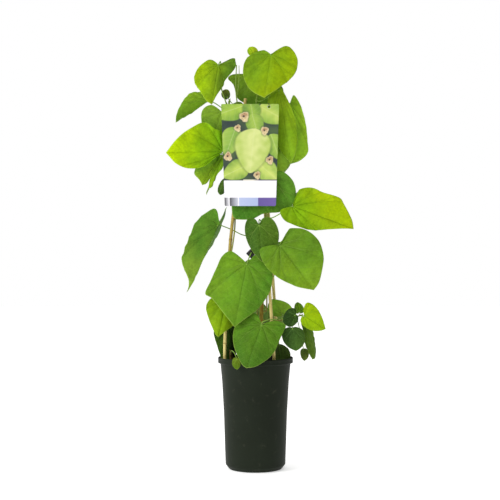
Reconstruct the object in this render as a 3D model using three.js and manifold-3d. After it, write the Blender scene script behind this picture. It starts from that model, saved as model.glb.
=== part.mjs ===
// A young Dutchman's pipe vine in a tall nursery pot, trained up three bamboo canes.
// Millimetres, +Z up, the middle of the pot's underside at the origin, the front towards -Y.

import * as THREE from 'three';
import { mergeVertices } from 'three/addons/utils/BufferGeometryUtils.js';
import Module from 'manifold-3d';

const wasm = await Module();
wasm.setup();

// Driving dimensions
const potHeight = 222;
const rimRadius = 75;
const rimBand = 11;
const potWall = 1.6;
const potFloor = 2;
const footRadius = 53;
const drainHole = { radius: 4, ring: 40, count: 5 };
const soilLevel = 206;
const soilMound = 5;
const caneRadius = 3.2;
const knuckleSwell = 1.14;
const stemRadius = 1.6;
const twineStep = 250;
const woodRadius = 4;
const stubRadius = 2.8;
const clearance = 0.35;
const cardThickness = 0.8;
const cardTieRadius = 0.7;
const bladeThickness = 0.8;
const largeLeaf = 70;
const stalkRadius = { large: 1.2, small: 0.9 };

// Everything above the rim is placed as it is seen from a level eye in front of the pot:
// across and up are read in the upright plane through the pot's axis, and depth is the
// distance behind that plane.
const eyeDistance = 2400;
const eyeHeight = 436;

function seen([across, up, depth]) {
  const spread = 1 + depth / eyeDistance;
  return new THREE.Vector3(across * spread, depth, eyeHeight + (up - eyeHeight) * spread);
}

function curveThrough(points) {
  return new THREE.CatmullRomCurve3(points, false, 'centripetal');
}

// Finishes, each with the colour of the real surface
function finish(colour, roughness) {
  return new THREE.MeshStandardMaterial({ color: colour, roughness, metalness: 0 });
}

const potPlastic = finish('#262a23', 0.45);
const peat = finish('#3a2b1f', 0.95);
const bamboo = finish('#d3b766', 0.6);
const bark = finish('#7a4f2c', 0.85);
const greenStem = finish('#7c7a35', 0.6);
const clipPlastic = finish('#1d1f1a', 0.5);
const card = finish('#c3d86a', 0.5);
const tieWire = finish('#2f3a24', 0.55);
const leafTone = {
  bright: finish('#9bc40f', 0.5),
  mid: finish('#7daa24', 0.5),
  deep: finish('#4f8a22', 0.5),
  shade: finish('#34581f', 0.55),
};

// Solids
function closedSolid(geometry) {
  const bare = geometry.clone();
  bare.deleteAttribute('normal');
  bare.deleteAttribute('uv');
  const merged = mergeVertices(bare, 1e-4);
  return new wasm.Manifold(new wasm.Mesh({
    numProp: 3,
    vertProperties: new Float32Array(merged.attributes.position.array),
    triVerts: new Uint32Array(merged.index.array),
  }));
}

// Slivers finer than this, left where two solids join, are smoothed away
const finestEdge = 0.02;

function geometryOf(solid) {
  const mesh = solid.simplify(finestEdge).getMesh();
  const geometry = new THREE.BufferGeometry();
  geometry.setAttribute('position', new THREE.BufferAttribute(new Float32Array(mesh.vertProperties), 3));
  geometry.setIndex(new THREE.BufferAttribute(new Uint32Array(mesh.triVerts), 1));
  geometry.computeVertexNormals();
  return geometry;
}

function turned(profile, sides) {
  const points = profile.map(([radius, height]) => new THREE.Vector2(radius, height));
  return new THREE.LatheGeometry(points, sides).rotateX(Math.PI / 2);
}

function tube(curve, radius, sides, steps) {
  const corners = [];
  for (let i = 0; i < sides; i += 1) {
    const angle = (2 * Math.PI * i) / sides;
    corners.push(new THREE.Vector2(radius * Math.cos(angle), radius * Math.sin(angle)));
  }
  return new THREE.ExtrudeGeometry(new THREE.Shape(corners), {
    steps,
    bevelEnabled: false,
    extrudePath: curve,
  });
}

// Pot: thin tapered wall that flares under a stepped rim, flat underside with drain holes
const potSides = 36;
const potFlare = [[59.6, 9], [60.9, 40], [63.1, 110], [66.7, 174], [70.1, potHeight - rimBand - 1]];

function potSolid() {
  const rimTop = potHeight;
  const rimFoot = potHeight - rimBand;
  const outside = [[0, 0], [footRadius, 0], ...potFlare, [rimRadius, rimFoot], [rimRadius, rimTop - 1]];
  const lip = [[rimRadius - 0.8, rimTop], [rimRadius - potWall, rimTop]];
  const inside = potFlare.map(([radius, height]) => [radius - potWall, height]).reverse();
  const ledge = [[rimRadius - potWall, rimFoot + potWall]];
  const floor = [[footRadius - potWall, potFloor], [0, potFloor]];
  let pot = closedSolid(turned([...outside, ...lip, ...ledge, ...inside, ...floor], potSides));
  for (let i = 0; i < drainHole.count; i += 1) {
    const angle = (2 * Math.PI * (i + 0.25)) / drainHole.count;
    const drill = new THREE.CylinderGeometry(drainHole.radius, drainHole.radius, 20, 8).rotateX(Math.PI / 2);
    drill.translate(drainHole.ring * Math.cos(angle), drainHole.ring * Math.sin(angle), 0);
    pot = pot.subtract(closedSolid(drill));
  }
  return pot;
}

// Canes: slim bamboo with a swelling at each joint, bowed along a path
const canePaths = {
  cane_left: curveThrough([
    new THREE.Vector3(-46, -8, 16),
    new THREE.Vector3(-54, -10, 120),
    new THREE.Vector3(-58.5, -12, 175),
    seen([-61.5, 217, -14]),
    seen([-51.8, 432, -12]),
    seen([-42, 530, -10]),
    seen([-20, 739, -6]),
  ]),
  cane_middle: curveThrough([
    new THREE.Vector3(34, -36, 16),
    new THREE.Vector3(38, -42, 120),
    seen([37, 217, -44]),
    seen([28, 360, -36]),
    seen([19, 520, -27]),
    seen([7.6, 726, -15.5]),
  ]),
  cane_back: curveThrough([
    new THREE.Vector3(38, 30, 16),
    new THREE.Vector3(44, 34, 120),
    seen([46, 217, 34]),
    seen([37, 345, 27]),
    seen([25, 518, 19]),
    seen([10.6, 726, 8.4]),
  ]),
};

function pointAtHeight(curve, height) {
  let low = 0;
  let high = 1;
  for (let i = 0; i < 24; i += 1) {
    const middle = (low + high) / 2;
    if (curve.getPoint(middle).z < height) {
      low = middle;
    } else {
      high = middle;
    }
  }
  return curve.getPoint((low + high) / 2);
}

function caneGeometry(path, radius, firstKnuckle) {
  const bottom = path.getPoint(0).z;
  const top = path.getPoint(1).z;
  const rings = bendHeights.map((height) => [radius, height]);
  let spacing = 88;
  for (let height = bottom + firstKnuckle; height < top - 20; height += spacing) {
    rings.push([radius, height - 5], [radius * knuckleSwell, height], [radius * 0.96, height + 6]);
    spacing += 6;
  }
  rings.sort((a, b) => a[1] - b[1]);
  const geometry = turned([[0, bottom], [radius, bottom], ...rings, [radius, top], [0, top]], 8);
  const position = geometry.attributes.position;
  for (let i = 0; i < position.count; i += 1) {
    const centre = pointAtHeight(path, position.getZ(i));
    position.setXY(i, position.getX(i) + centre.x, position.getY(i) + centre.y);
  }
  return geometry;
}

const firstKnuckles = { cane_left: 52, cane_middle: 74, cane_back: 30 };
const bendHeights = [112, 184, 204, 224];

// Stems: old wood in the soil, green shoots that leave it and twine round the canes
const woodPath = curveThrough([
  new THREE.Vector3(5, 2, 110),
  new THREE.Vector3(8, 0, 205),
  seen([11, 280, -4]),
  seen([13, 338, -6]),
]);
const stubPath = curveThrough([
  new THREE.Vector3(-44, 4, 150),
  new THREE.Vector3(-48, 1, 205),
  seen([-50, 236, -2]),
]);

function twined(cane, from, to, startTurn) {
  const reach = caneRadius * knuckleSwell + stemRadius + 2.2 * clearance;
  const points = [];
  const stretches = Math.round((12 * (to - from)) / twineStep);
  for (let i = 0; i <= stretches; i += 1) {
    const height = from + ((to - from) * i) / stretches;
    const angle = 2 * Math.PI * (startTurn + (height - from) / twineStep);
    const centre = pointAtHeight(canePaths[cane], height);
    points.push(centre.add(new THREE.Vector3(reach * Math.cos(angle), reach * Math.sin(angle), 0)));
  }
  return points;
}

function besideWood(height, angle, reach) {
  const centre = pointAtHeight(woodPath, height);
  return centre.add(new THREE.Vector3(reach * Math.cos(angle), reach * Math.sin(angle), 0));
}

const onWood = woodRadius + clearance;
const stems = {
  stem_left: {
    cane: 'cane_left',
    steps: 48,
    path: curveThrough([
      besideWood(284, Math.PI, onWood),
      besideWood(284, Math.PI, onWood + 4),
      besideWood(292, Math.PI, onWood + 5),
      besideWood(318, Math.PI, onWood + 4),
      seen([-6, 350, -8]),
      seen([-30, 372, -6]),
      seen([-42, 386, -15]),
      ...twined('cane_left', 402, 640, -0.27),
      seen([-36, 668, -14]),
      seen([-35, 706, -8]),
      seen([-36, 724, -12]),
      seen([-39, 752, -10]),
      seen([-39, 780, -6]),
      seen([-38, 806, -4]),
    ]),
  },
  stem_middle: {
    cane: 'cane_middle',
    steps: 48,
    path: curveThrough([
      besideWood(314, 0, onWood),
      besideWood(314, 0, onWood + 4),
      seen([23, 345, -12]),
      seen([26, 375, -22]),
      ...twined('cane_middle', 402, 700, 0.36),
      seen([1.5, 728, -13]),
      seen([4, 752, -6]),
      seen([4, 778, -1]),
      seen([-1, 814, -2]),
    ]),
  },
  stem_back: {
    cane: 'cane_back',
    steps: 42,
    path: curveThrough([
      besideWood(322, Math.PI / 2, onWood),
      besideWood(322, Math.PI / 2, onWood + 4),
      seen([20, 352, 12]),
      seen([25, 378, 22]),
      ...twined('cane_back', 404, 640, 0.31),
      seen([23, 668, 15]),
      seen([24, 696, 10]),
      seen([27, 722, 6]),
    ]),
  },
  side_shoot: {
    cane: null,
    level: true,
    steps: 14,
    path: curveThrough([
      besideWood(296, 0, onWood),
      besideWood(296, 0, onWood + 5),
      seen([27, 296, -12]),
      seen([52, 296, -28]),
      seen([74, 300, -38]),
      seen([92, 306, -44]),
    ]),
  },
};

const supports = {
  ...Object.fromEntries(Object.entries(stems).map(([name, stem]) => [name, {
    path: stem.path,
    cane: stem.cane,
    radius: stemRadius,
    level: stem.level,
  }])),
  old_wood: { path: woodPath, cane: null, radius: woodRadius },
  pruned_stub: { path: stubPath, cane: null, radius: stubRadius },
};

// The plain hole that a stem stands in: it starts a little under the stem and runs out of the soil
function socket(path, radius) {
  const bottom = path.getPoint(0);
  const points = [bottom.clone().addScaledVector(path.getTangent(0), -2 * clearance)];
  const stretches = 8;
  for (let i = 1; i <= stretches; i += 1) {
    points.push(pointAtHeight(path, bottom.z + ((soilLevel + 12 - bottom.z) * i) / stretches));
  }
  return closedSolid(tube(curveThrough(points), radius + 2.2 * clearance, 8, stretches));
}

// Soil: fills the pot to a gentle mound
function soilSolid() {
  const floor = potFloor + clearance;
  const toWall = potWall + clearance;
  const side = potFlare.slice(0, -1).map(([radius, height]) => [radius - toWall, height + clearance]);
  const shoulder = potFlare[potFlare.length - 1][0] - toWall - 0.6;
  let soil = closedSolid(turned([
    [0, floor],
    [footRadius - toWall, floor],
    ...side,
    [shoulder, soilLevel - 4],
    [0.92 * shoulder, soilLevel],
    [0.45 * shoulder, soilLevel + 0.7 * soilMound],
    [0, soilLevel + soilMound],
  ], potSides));
  for (const path of Object.values(canePaths)) {
    soil = soil.subtract(socket(path, caneRadius * knuckleSwell));
  }
  soil = soil.subtract(socket(woodPath, woodRadius));
  return soil.subtract(socket(stubPath, stubRadius));
}

// Leaves: heart-shaped blades, each given by where its stalk meets it, its tip and its two widest
// points. The margin of one half runs from the notch round the lobe to the tip, as shares of the
// blade's length and half width. A leaf has its own two margins, left and right, or the common
// one, and then its lobes scale what lies behind the notch.
const widest = 0.25;
const commonMargin = [
  [-0.78, 0.2], [-1, 0.47], [-0.72, 0.76], [0.03, 0.95],
  [0.25, 1], [0.5, 0.88], [0.74, 0.58], [0.9, 0.26],
];

function outlinePoint(leaf, turn) {
  const side = turn < 0 ? 0 : 1;
  const margin = leaf.margins
    ? leaf.margins[side]
    : commonMargin.map(([along, out]) => [along < 0 ? along * leaf.lobes[side] : along, out]);
  const points = [[0, 0], ...margin, [1, 0]].map(([along, out]) => new THREE.Vector2(along, out));
  const { x, y } = new THREE.SplineCurve(points).getPoint(1 - Math.abs(turn));
  return [x, y];
}

function leafFrame(leaf) {
  const notch = seen(leaf.notch);
  const axis = seen(leaf.tip).sub(notch);
  const spine = notch.clone().addScaledVector(axis, widest);
  const toLeft = seen(leaf.left).sub(spine);
  const toRight = seen(leaf.right).sub(spine);
  const face = axis.clone().cross(toRight.clone().sub(toLeft)).normalize();
  return { notch, axis, toLeft, toRight, face };
}

// A point of the blade's middle surface: turn runs from -1 at the left of the notch over 0 at the
// tip to 1 at the right, and share from 0 at the notch to 1 at the margin
function bladePoint(leaf, frame, turn, share) {
  const [along, out] = outlinePoint(leaf, turn);
  const side = turn < 0 ? frame.toLeft : frame.toRight;
  const lift = leaf.cup * (share * out) ** 2
    + leaf.droop * Math.max(share * along, 0) ** 2
    + leaf.wave * share ** 2 * Math.sin(Math.PI * (leaf.waves * turn + leaf.phase));
  return frame.notch.clone()
    .addScaledVector(frame.axis, share * along)
    .addScaledVector(side, share * out)
    .addScaledVector(frame.face, lift);
}

// The middle surface is a fan of wide rays inside a ring of narrow ones, two to each wide ray. Its
// first and last rays are the notch itself.
function bladeGeometry(leaf, frame, rays) {
  const innerShare = 0.55;
  const turnOf = (ray) => (2 * ray) / rays - 1;
  const middle = [frame.notch.clone()];
  for (let ray = 1; ray < rays; ray += 1) {
    middle.push(bladePoint(leaf, frame, turnOf(ray), 1));
  }
  for (let ray = 2; ray < rays; ray += 2) {
    middle.push(bladePoint(leaf, frame, turnOf(ray), innerShare));
  }
  const atNotch = (ray) => ray === 0 || ray === rays;
  const margin = (ray) => (atNotch(ray) ? 0 : ray);
  const inner = (ray) => (atNotch(ray) ? 0 : rays - 1 + ray / 2);
  const faces = [];
  for (let ray = 0; ray < rays; ray += 2) {
    faces.push([0, inner(ray), inner(ray + 2)]);
    faces.push([inner(ray), margin(ray), margin(ray + 1)]);
    faces.push([inner(ray), margin(ray + 1), inner(ray + 2)]);
    faces.push([inner(ray + 2), margin(ray + 1), margin(ray + 2)]);
  }
  const real = faces.filter((face) => new Set(face).size === 3);
  const normals = middle.map(() => new THREE.Vector3());
  for (const [a, b, c] of real) {
    const edge = middle[b].clone().sub(middle[a]);
    const normal = edge.cross(middle[c].clone().sub(middle[a]));
    [a, b, c].forEach((corner) => normals[corner].add(normal));
  }
  normals.forEach((normal) => normal.normalize());

  const lower = middle.length;
  const position = [];
  for (const sign of [1, -1]) {
    middle.forEach((point, i) => {
      const moved = point.clone().addScaledVector(normals[i], (sign * bladeThickness) / 2);
      position.push(moved.x, moved.y, moved.z);
    });
  }
  const index = [];
  real.forEach(([a, b, c]) => index.push(a, b, c, lower + a, lower + c, lower + b));
  const wall = (a, b) => index.push(a, lower + a, lower + b, a, lower + b, b);
  for (let ray = 0; ray < rays; ray += 1) {
    wall(margin(ray), margin(ray + 1));
  }
  const geometry = new THREE.BufferGeometry();
  geometry.setAttribute('position', new THREE.Float32BufferAttribute(position, 3));
  geometry.setIndex(index);
  return geometry;
}

// Where a leaf stalk leaves its stem: nearest the wanted height, or the wanted place across on a
// level shoot, and on a side that is clear of the cane
function budOn(support, wanted, target) {
  const samples = 240;
  let best = null;
  for (let i = 2; i <= samples - 1; i += 1) {
    const centre = support.path.getPoint(i / samples);
    const run = support.path.getTangent(i / samples);
    const out = target.clone().sub(centre);
    out.addScaledVector(run, -out.dot(run)).normalize();
    let open = 1;
    if (support.cane) {
      const away = centre.clone().sub(pointAtHeight(canePaths[support.cane], centre.z));
      const held = away.length() < 3 * caneRadius;
      open = held ? away.normalize().dot(out) : 1;
    }
    const miss = Math.abs((support.level ? centre.x : centre.z) - wanted);
    if (open > 0.3 && (best === null || miss < best.miss)) {
      best = { miss, centre, out };
    }
  }
  return best;
}

function stalkRadiusOf(frame) {
  return frame.axis.length() > largeLeaf ? stalkRadius.large : stalkRadius.small;
}

function stalkCurve(leaf, frame) {
  const support = supports[leaf.stem];
  const via = (leaf.via ?? []).map(seen);
  const bud = budOn(support, leaf.bud, via[0] ?? frame.notch);
  const start = bud.centre.clone().addScaledVector(bud.out, support.radius + clearance);
  const axis = frame.axis.clone().normalize();
  const under = frame.notch.clone().addScaledVector(frame.face, -0.8 * stalkRadiusOf(frame));
  const reach = start.distanceTo(frame.notch);
  const arrive = axis.clone().multiplyScalar(0.5).addScaledVector(frame.face, 0.8).normalize();
  const points = [start, start.clone().addScaledVector(bud.out, Math.min(6, reach * 0.2)), ...via];
  if (via.length === 0) {
    points.push(under.clone().addScaledVector(arrive, -Math.min(12, reach * 0.35)));
  }
  points.push(under, under.clone().addScaledVector(axis, 3));
  return curveThrough(points);
}

function stalkTube(curve, radius) {
  return tube(curve, radius, 5, Math.min(8, 4 + Math.round(curve.getLength() / 22)));
}

function leafSolid(leaf) {
  const frame = leafFrame(leaf);
  const rays = frame.axis.length() > largeLeaf ? 20 : 12;
  const blade = closedSolid(bladeGeometry(leaf, frame, rays));
  return blade.add(closedSolid(stalkTube(stalkCurve(leaf, frame), stalkRadiusOf(frame))));
}

// One row a leaf: across, up and depth of the notch, the tip and the widest points at left and
// right, then its lobes or its own margins, and where the stalk comes from
const leafRows = [
  {
    name: 'leaf_crown_right', tone: 'bright', stem: 'stem_middle', bud: 786,
    notch: [31, 827, -20], tip: [17, 742, -46], left: [-25, 798, -14], right: [85, 806, -32],
    cup: -5, droop: -5, wave: 2.5, waves: 3, phase: 0.2,
    margins: [
      [[-0.14, 0.33], [-0.1, 0.77], [0.02, 0.97], [0.25, 1.01], [0.46, 0.92], [0.68, 0.7], [0.86, 0.39]],
      [[-0.15, 0.33], [-0.17, 0.62], [0.06, 0.92], [0.31, 0.96], [0.51, 0.84], [0.71, 0.58], [0.87, 0.31]],
    ],
  },
  {
    name: 'leaf_crown_bud', tone: 'bright', stem: 'stem_middle', bud: 808,
    notch: [0, 824, 0], tip: [-12, 842, -4], left: [3, 838, -2], right: [-15, 829, 0],
    lobes: [0.2, 0.2], cup: -1, droop: -1, wave: 0.4, waves: 2, phase: 0,
  },
  {
    name: 'leaf_crown_left', tone: 'bright', stem: 'stem_left', bud: 696,
    notch: [-74, 806, -12], tip: [-87, 727, -34], left: [-123, 778, -26], right: [-46, 796, -2],
    cup: -3, droop: -4, wave: 2.5, waves: 3, phase: 0.6,
    via: [[-44, 708, 5], [-59, 732, 4], [-68, 760, 4], [-70, 798, 6], [-70, 813, 0]],
    margins: [
      [[-0.17, 0.36], [-0.14, 0.66], [0, 0.92], [0.19, 1], [0.38, 0.88], [0.56, 0.66], [0.86, 0.31]],
      [[-0.03, 0.31], [-0.07, 0.93], [0.02, 1.1], [0.21, 1.17], [0.45, 0.64], [0.58, 0.58], [0.79, 0.22]],
    ],
  },
  {
    name: 'leaf_upper_left', tone: 'mid', stem: 'stem_left', bud: 700,
    notch: [-95, 734, 4], tip: [-161, 694, -6], left: [-129, 750, 22], right: [-117, 721, -8],
    cup: -3, droop: -6, wave: 1.5, waves: 3, phase: 0.3,
    via: [[-52, 708, 2], [-70, 722, 4], [-84, 731, 7]],
    margins: [
      [[-0.07, 0.46], [0.05, 0.82], [0.23, 1.04], [0.38, 1.04], [0.57, 0.9], [0.68, 0.76], [0.88, 0.36]],
      [[-0.12, 0.2], [-0.15, 0.55], [0.03, 0.95], [0.25, 1], [0.5, 0.88], [0.74, 0.58], [0.9, 0.26]],
    ],
  },
  {
    name: 'leaf_behind_card_left', tone: 'deep', stem: 'stem_left', bud: 664,
    notch: [-67, 712, -18], tip: [-83, 668, -14], left: [-109, 702, -15], right: [-45, 696, -18],
    cup: -3, droop: -3, wave: 1, waves: 3, phase: 0,
    margins: [
      [[-0.22, 0.41], [-0.31, 0.73], [-0.18, 1], [0.07, 1.06], [0.43, 0.91], [0.65, 0.75], [0.85, 0.43]],
      [[-0.14, 0.37], [-0.07, 0.68], [0.13, 0.93], [0.38, 1.02], [0.66, 0.91], [0.79, 0.71], [0.89, 0.51]],
    ],
  },
  {
    name: 'leaf_wide_left', tone: 'bright', stem: 'stem_left', bud: 630,
    notch: [-65, 633, -26], tip: [-178, 631, -62], left: [-101, 691, -34], right: [-107, 602, -38],
    cup: -4, droop: -8, wave: 3, waves: 3, phase: 0.4,
    margins: [
      [[-0.1, 0.29], [-0.05, 0.65], [0.09, 0.78], [0.25, 1.02], [0.49, 0.84], [0.69, 0.6], [0.86, 0.31]],
      [[0.13, 0.62], [0.18, 0.85], [0.22, 0.97], [0.34, 1.07], [0.51, 1.02], [0.69, 0.79], [0.83, 0.5]],
    ],
  },
  {
    name: 'leaf_under_wide_left', tone: 'deep', stem: 'stem_left', bud: 616,
    notch: [-69, 626, 8], tip: [-106, 566, -2], left: [-118, 604, 0], right: [-65, 604, 10],
    cup: -3, droop: -4, wave: 1.5, waves: 3, phase: 0.8,
    margins: [
      [[-0.12, 0.41], [-0.1, 0.75], [0.02, 0.93], [0.13, 1.02], [0.36, 0.96], [0.55, 0.81], [0.78, 0.37]],
      [[0.02, 0.54], [0.17, 0.6], [0.33, 0.45], [0.47, 0.39], [0.6, 0.38], [0.73, 0.41], [0.9, 0.36]],
    ],
  },
  {
    name: 'leaf_edge_on_left', tone: 'mid', stem: 'stem_left', bud: 590,
    notch: [-65, 622, -20], tip: [-102, 549, -30], left: [-83, 606, -8], right: [-65, 598, -38],
    cup: -3, droop: -6, wave: 1.5, waves: 3, phase: 0.1,
    margins: [
      [[-0.1, 0.35], [0.05, 0.8], [0.25, 1], [0.45, 0.85], [0.62, 0.6], [0.8, 0.4], [0.92, 0.2]],
      [[0.06, 0.7], [0.21, 0.79], [0.47, 0.36], [0.45, 0.26], [0.63, 0.33], [0.8, 0.37], [0.86, 0.05]],
    ],
  },
  {
    name: 'leaf_small_left', tone: 'deep', stem: 'stem_left', bud: 566,
    notch: [-60, 576, -16], tip: [-70, 546, -22], left: [-74, 562, -20], right: [-56, 560, -14],
    lobes: [0.2, 0.2], cup: -2, droop: -1, wave: 0.5, waves: 2, phase: 0.5,
  },
  {
    name: 'leaf_dark_crown', tone: 'deep', stem: 'stem_middle', bud: 764,
    notch: [-3, 786, 10], tip: [13, 720, 24], left: [-45, 770, 12], right: [55, 750, 14],
    cup: -4, droop: 2, wave: 2, waves: 3, phase: 0.5,
    margins: [
      [[-0.03, 0.32], [-0.01, 0.91], [0.12, 1.18], [0.32, 1], [0.69, 0.99], [0.85, 0.75], [0.96, 0.41]],
      [[-0.11, 0.35], [-0.13, 0.65], [-0.07, 0.88], [0.1, 1.04], [0.35, 0.97], [0.63, 0.69], [0.84, 0.36]],
    ],
  },
  {
    name: 'leaf_curled_bud', tone: 'shade', stem: 'stem_left', bud: 726,
    notch: [-56, 740, -10], tip: [-64, 756, -12], left: [-52, 754, -12], right: [-67, 744, -8],
    lobes: [0.2, 0.2], cup: 3, droop: 2, wave: 0.4, waves: 2, phase: 0,
  },
  {
    name: 'leaf_long_right', tone: 'mid', stem: 'stem_middle', bud: 706,
    notch: [47, 754, -8], tip: [71, 610, -36], left: [25, 712, -10], right: [81, 696, -26],
    cup: -4, droop: -4, wave: 2.5, waves: 3, phase: 0.1,
    margins: [
      [[-0.08, 0.36], [0.05, 0.86], [0.26, 1], [0.41, 0.97], [0.55, 0.91], [0.71, 0.75], [0.86, 0.47]],
      [[-0.07, 0.26], [0.06, 0.68], [0.16, 0.84], [0.28, 0.92], [0.44, 0.88], [0.62, 0.75], [0.81, 0.46]],
    ],
  },
  {
    name: 'leaf_outer_right', tone: 'mid', stem: 'stem_back', bud: 714,
    notch: [69, 728, 20], tip: [69, 609, 2], left: [43, 680, 26], right: [101, 678, 0],
    cup: -4, droop: -6, wave: 2, waves: 3, phase: 0.7,
    margins: [
      [[-0.13, 0.53], [-0.09, 1.05], [0.1, 1.19], [0.22, 1.17], [0.39, 1.03], [0.59, 0.77], [0.84, 0.39]],
      [[-0.19, 0.22], [-0.11, 0.62], [0.08, 0.9], [0.23, 1], [0.43, 1.03], [0.63, 1.02], [0.85, 0.56]],
    ],
  },
  {
    name: 'leaf_behind_card_right', tone: 'deep', stem: 'stem_middle', bud: 650,
    notch: [52, 655, -8], tip: [35, 580, -22], left: [28, 628, -12], right: [77, 628, -10],
    lobes: [0.15, 0.15], cup: -3, droop: -3, wave: 1.5, waves: 3, phase: 0.2,
  },
  {
    name: 'leaf_under_card', tone: 'deep', stem: 'stem_middle', bud: 566,
    notch: [29, 580, -38], tip: [-39, 497, -44], left: [-38, 564, -38], right: [73, 530, -42],
    cup: -2, droop: -1, wave: 1, waves: 3, phase: 0.4,
    margins: [
      [[-0.06, 0.42], [-0.04, 0.75], [0.07, 0.96], [0.22, 1.03], [0.4, 0.94], [0.63, 0.68], [0.91, 0.26]],
      [[-0.21, 0.1], [-0.15, 0.57], [0.07, 0.93], [0.33, 1.05], [0.51, 0.88], [0.66, 0.55], [0.87, 0.36]],
    ],
  },
  {
    name: 'leaf_wide_right', tone: 'bright', stem: 'stem_middle', bud: 500,
    notch: [74, 523, -52], tip: [196, 479, -74], left: [95, 479, -60], right: [111, 561, -48],
    cup: -3, droop: -8, wave: 4, waves: 3, phase: 0.9,
    via: [[32, 500, -40], [48, 508, -46], [62, 518, -48]],
    margins: [
      [[-0.16, 0.46], [-0.07, 0.91], [0.12, 0.98], [0.31, 0.94], [0.46, 0.8], [0.59, 0.61], [0.87, 0.18]],
      [[0.04, 0.56], [0.09, 0.82], [0.27, 1.01], [0.45, 0.98], [0.71, 1.03], [0.8, 0.84], [0.95, 0.36]],
    ],
  },
  {
    name: 'leaf_small_heart', tone: 'deep', stem: 'stem_middle', bud: 488,
    notch: [7, 486, -50], tip: [13, 412, -58], left: [-21, 470, -48], right: [47, 466, -52],
    lobes: [0.18, 0.22], cup: -3, droop: -2, wave: 1.5, waves: 3, phase: 0.3,
    via: [[8, 497, -41]],
  },
  {
    name: 'leaf_big_heart', tone: 'deep', stem: 'stem_middle', bud: 446,
    notch: [49, 446, -66], tip: [116, 357, -90], left: [24, 400, -78], right: [125, 460, -80],
    cup: -6, droop: -8, wave: 2.5, waves: 3, phase: 0,
    via: [[36, 450, -39], [49, 451, -43], [52, 453, -56]],
    margins: [
      [[-0.11, 0.49], [-0.11, 0.82], [0.12, 1], [0.33, 0.98], [0.53, 0.85], [0.71, 0.61], [0.83, 0.42]],
      [[-0.13, 0.39], [-0.15, 0.57], [0, 0.87], [0.26, 0.98], [0.52, 0.86], [0.7, 0.66], [0.93, 0.27]],
    ],
  },
  {
    name: 'leaf_centre', tone: 'deep', stem: 'stem_middle', bud: 436,
    notch: [-17, 409, -47], tip: [-42, 282, -66], left: [-93, 368, -52], right: [33, 376, -50],
    cup: -3, droop: -4, wave: 2.5, waves: 3, phase: 0.5,
    via: [[4, 440, -36], [-6, 434, -39], [-11, 425, -42.5]],
    margins: [
      [[-0.23, 0.51], [-0.18, 0.77], [-0.01, 0.87], [0.21, 0.98], [0.39, 1.06], [0.49, 0.83], [0.79, 0.34]],
      [[-0.15, 0.27], [-0.09, 0.67], [0.13, 0.96], [0.38, 1.02], [0.56, 0.89], [0.73, 0.66], [0.86, 0.34]],
    ],
  },
  {
    name: 'leaf_lower_left', tone: 'bright', stem: 'stem_left', bud: 368,
    notch: [-59, 334, -28], tip: [-74, 262, -40], left: [-98, 322, -34], right: [-39, 300, -30],
    cup: -4, droop: -4, wave: 2, waves: 3, phase: 0.6,
    via: [[-34, 362, -20], [-50, 348, -27]],
    margins: [
      [[-0.08, 0.34], [-0.02, 0.82], [0.15, 1.01], [0.31, 0.99], [0.52, 0.77], [0.68, 0.57], [0.94, 0.2]],
      [[-0.13, 0.48], [-0.11, 1], [-0.01, 1.17], [0.19, 1.17], [0.41, 1], [0.59, 0.73], [0.75, 0.42]],
    ],
  },
  {
    name: 'leaf_over_rim', tone: 'deep', stem: 'side_shoot', bud: 58,
    notch: [12, 287, -60], tip: [-18, 199, -90], left: [-43, 260, -66], right: [51, 264, -68],
    cup: -4, droop: 2, wave: 2, waves: 3, phase: 0.2,
    via: [[52, 298, -38], [42, 297, -50], [27, 296, -55], [14, 292, -60]],
    margins: [
      [[-0.26, 0.36], [-0.28, 0.75], [-0.15, 1.06], [0.04, 1.14], [0.28, 1.03], [0.55, 0.75], [0.89, 0.27]],
      [[-0.09, 0.53], [-0.01, 1.01], [0.09, 1.04], [0.35, 0.98], [0.6, 0.93], [0.79, 0.74], [0.97, 0.36]],
    ],
  },
  {
    name: 'leaf_rim_bud', tone: 'mid', stem: 'pruned_stub', bud: 228,
    notch: [-38, 218, -71], tip: [-37, 197, -76], left: [-47, 209, -71], right: [-30, 209, -74],
    lobes: [0.2, 0.2], cup: -1, droop: -1, wave: 0.5, waves: 2, phase: 0,
    via: [[-49, 233, -30], [-46, 234, -52], [-41, 228, -66]],
  },
  {
    name: 'leaf_mouth_left', tone: 'shade', stem: 'old_wood', bud: 262,
    notch: [-55, 284, 8], tip: [-59, 212, 2], left: [-82, 260, 4], right: [-37, 256, 10],
    cup: -3, droop: 0, wave: 1.5, waves: 3, phase: 0.3,
    margins: [
      [[-0.12, 0.45], [-0.08, 0.93], [0.08, 1.09], [0.3, 0.94], [0.46, 0.78], [0.66, 0.59], [0.88, 0.36]],
      [[-0.11, 0.45], [-0.02, 0.9], [0.14, 1.14], [0.33, 1.21], [0.44, 1.18], [0.66, 0.95], [0.84, 0.56]],
    ],
  },
  {
    name: 'leaf_mouth_right', tone: 'shade', stem: 'old_wood', bud: 240,
    notch: [47, 248, 4], tip: [51, 212, -4], left: [33, 236, 2], right: [69, 234, 4],
    cup: -2, droop: 0, wave: 1, waves: 2, phase: 0,
    margins: [
      [[-0.1, 0.38], [-0.01, 0.84], [0.2, 1.08], [0.3, 1.1], [0.53, 1.02], [0.78, 0.72], [0.85, 0.6]],
      [[-0.01, 0.38], [0.08, 0.78], [0.13, 0.87], [0.35, 1.02], [0.62, 0.96], [0.72, 0.82], [0.9, 0.48]],
    ],
  },
  {
    name: 'leaf_behind_cane', tone: 'deep', stem: 'side_shoot', bud: 50,
    notch: [54, 308, -20], tip: [34, 338, -10], left: [70, 324, -20], right: [26, 314, -10],
    lobes: [0.15, 0.15], cup: -3, droop: -1, wave: 1, waves: 2, phase: 0.2,
  },
  {
    name: 'leaf_crumpled', tone: 'shade', stem: 'side_shoot', bud: 83,
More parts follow.
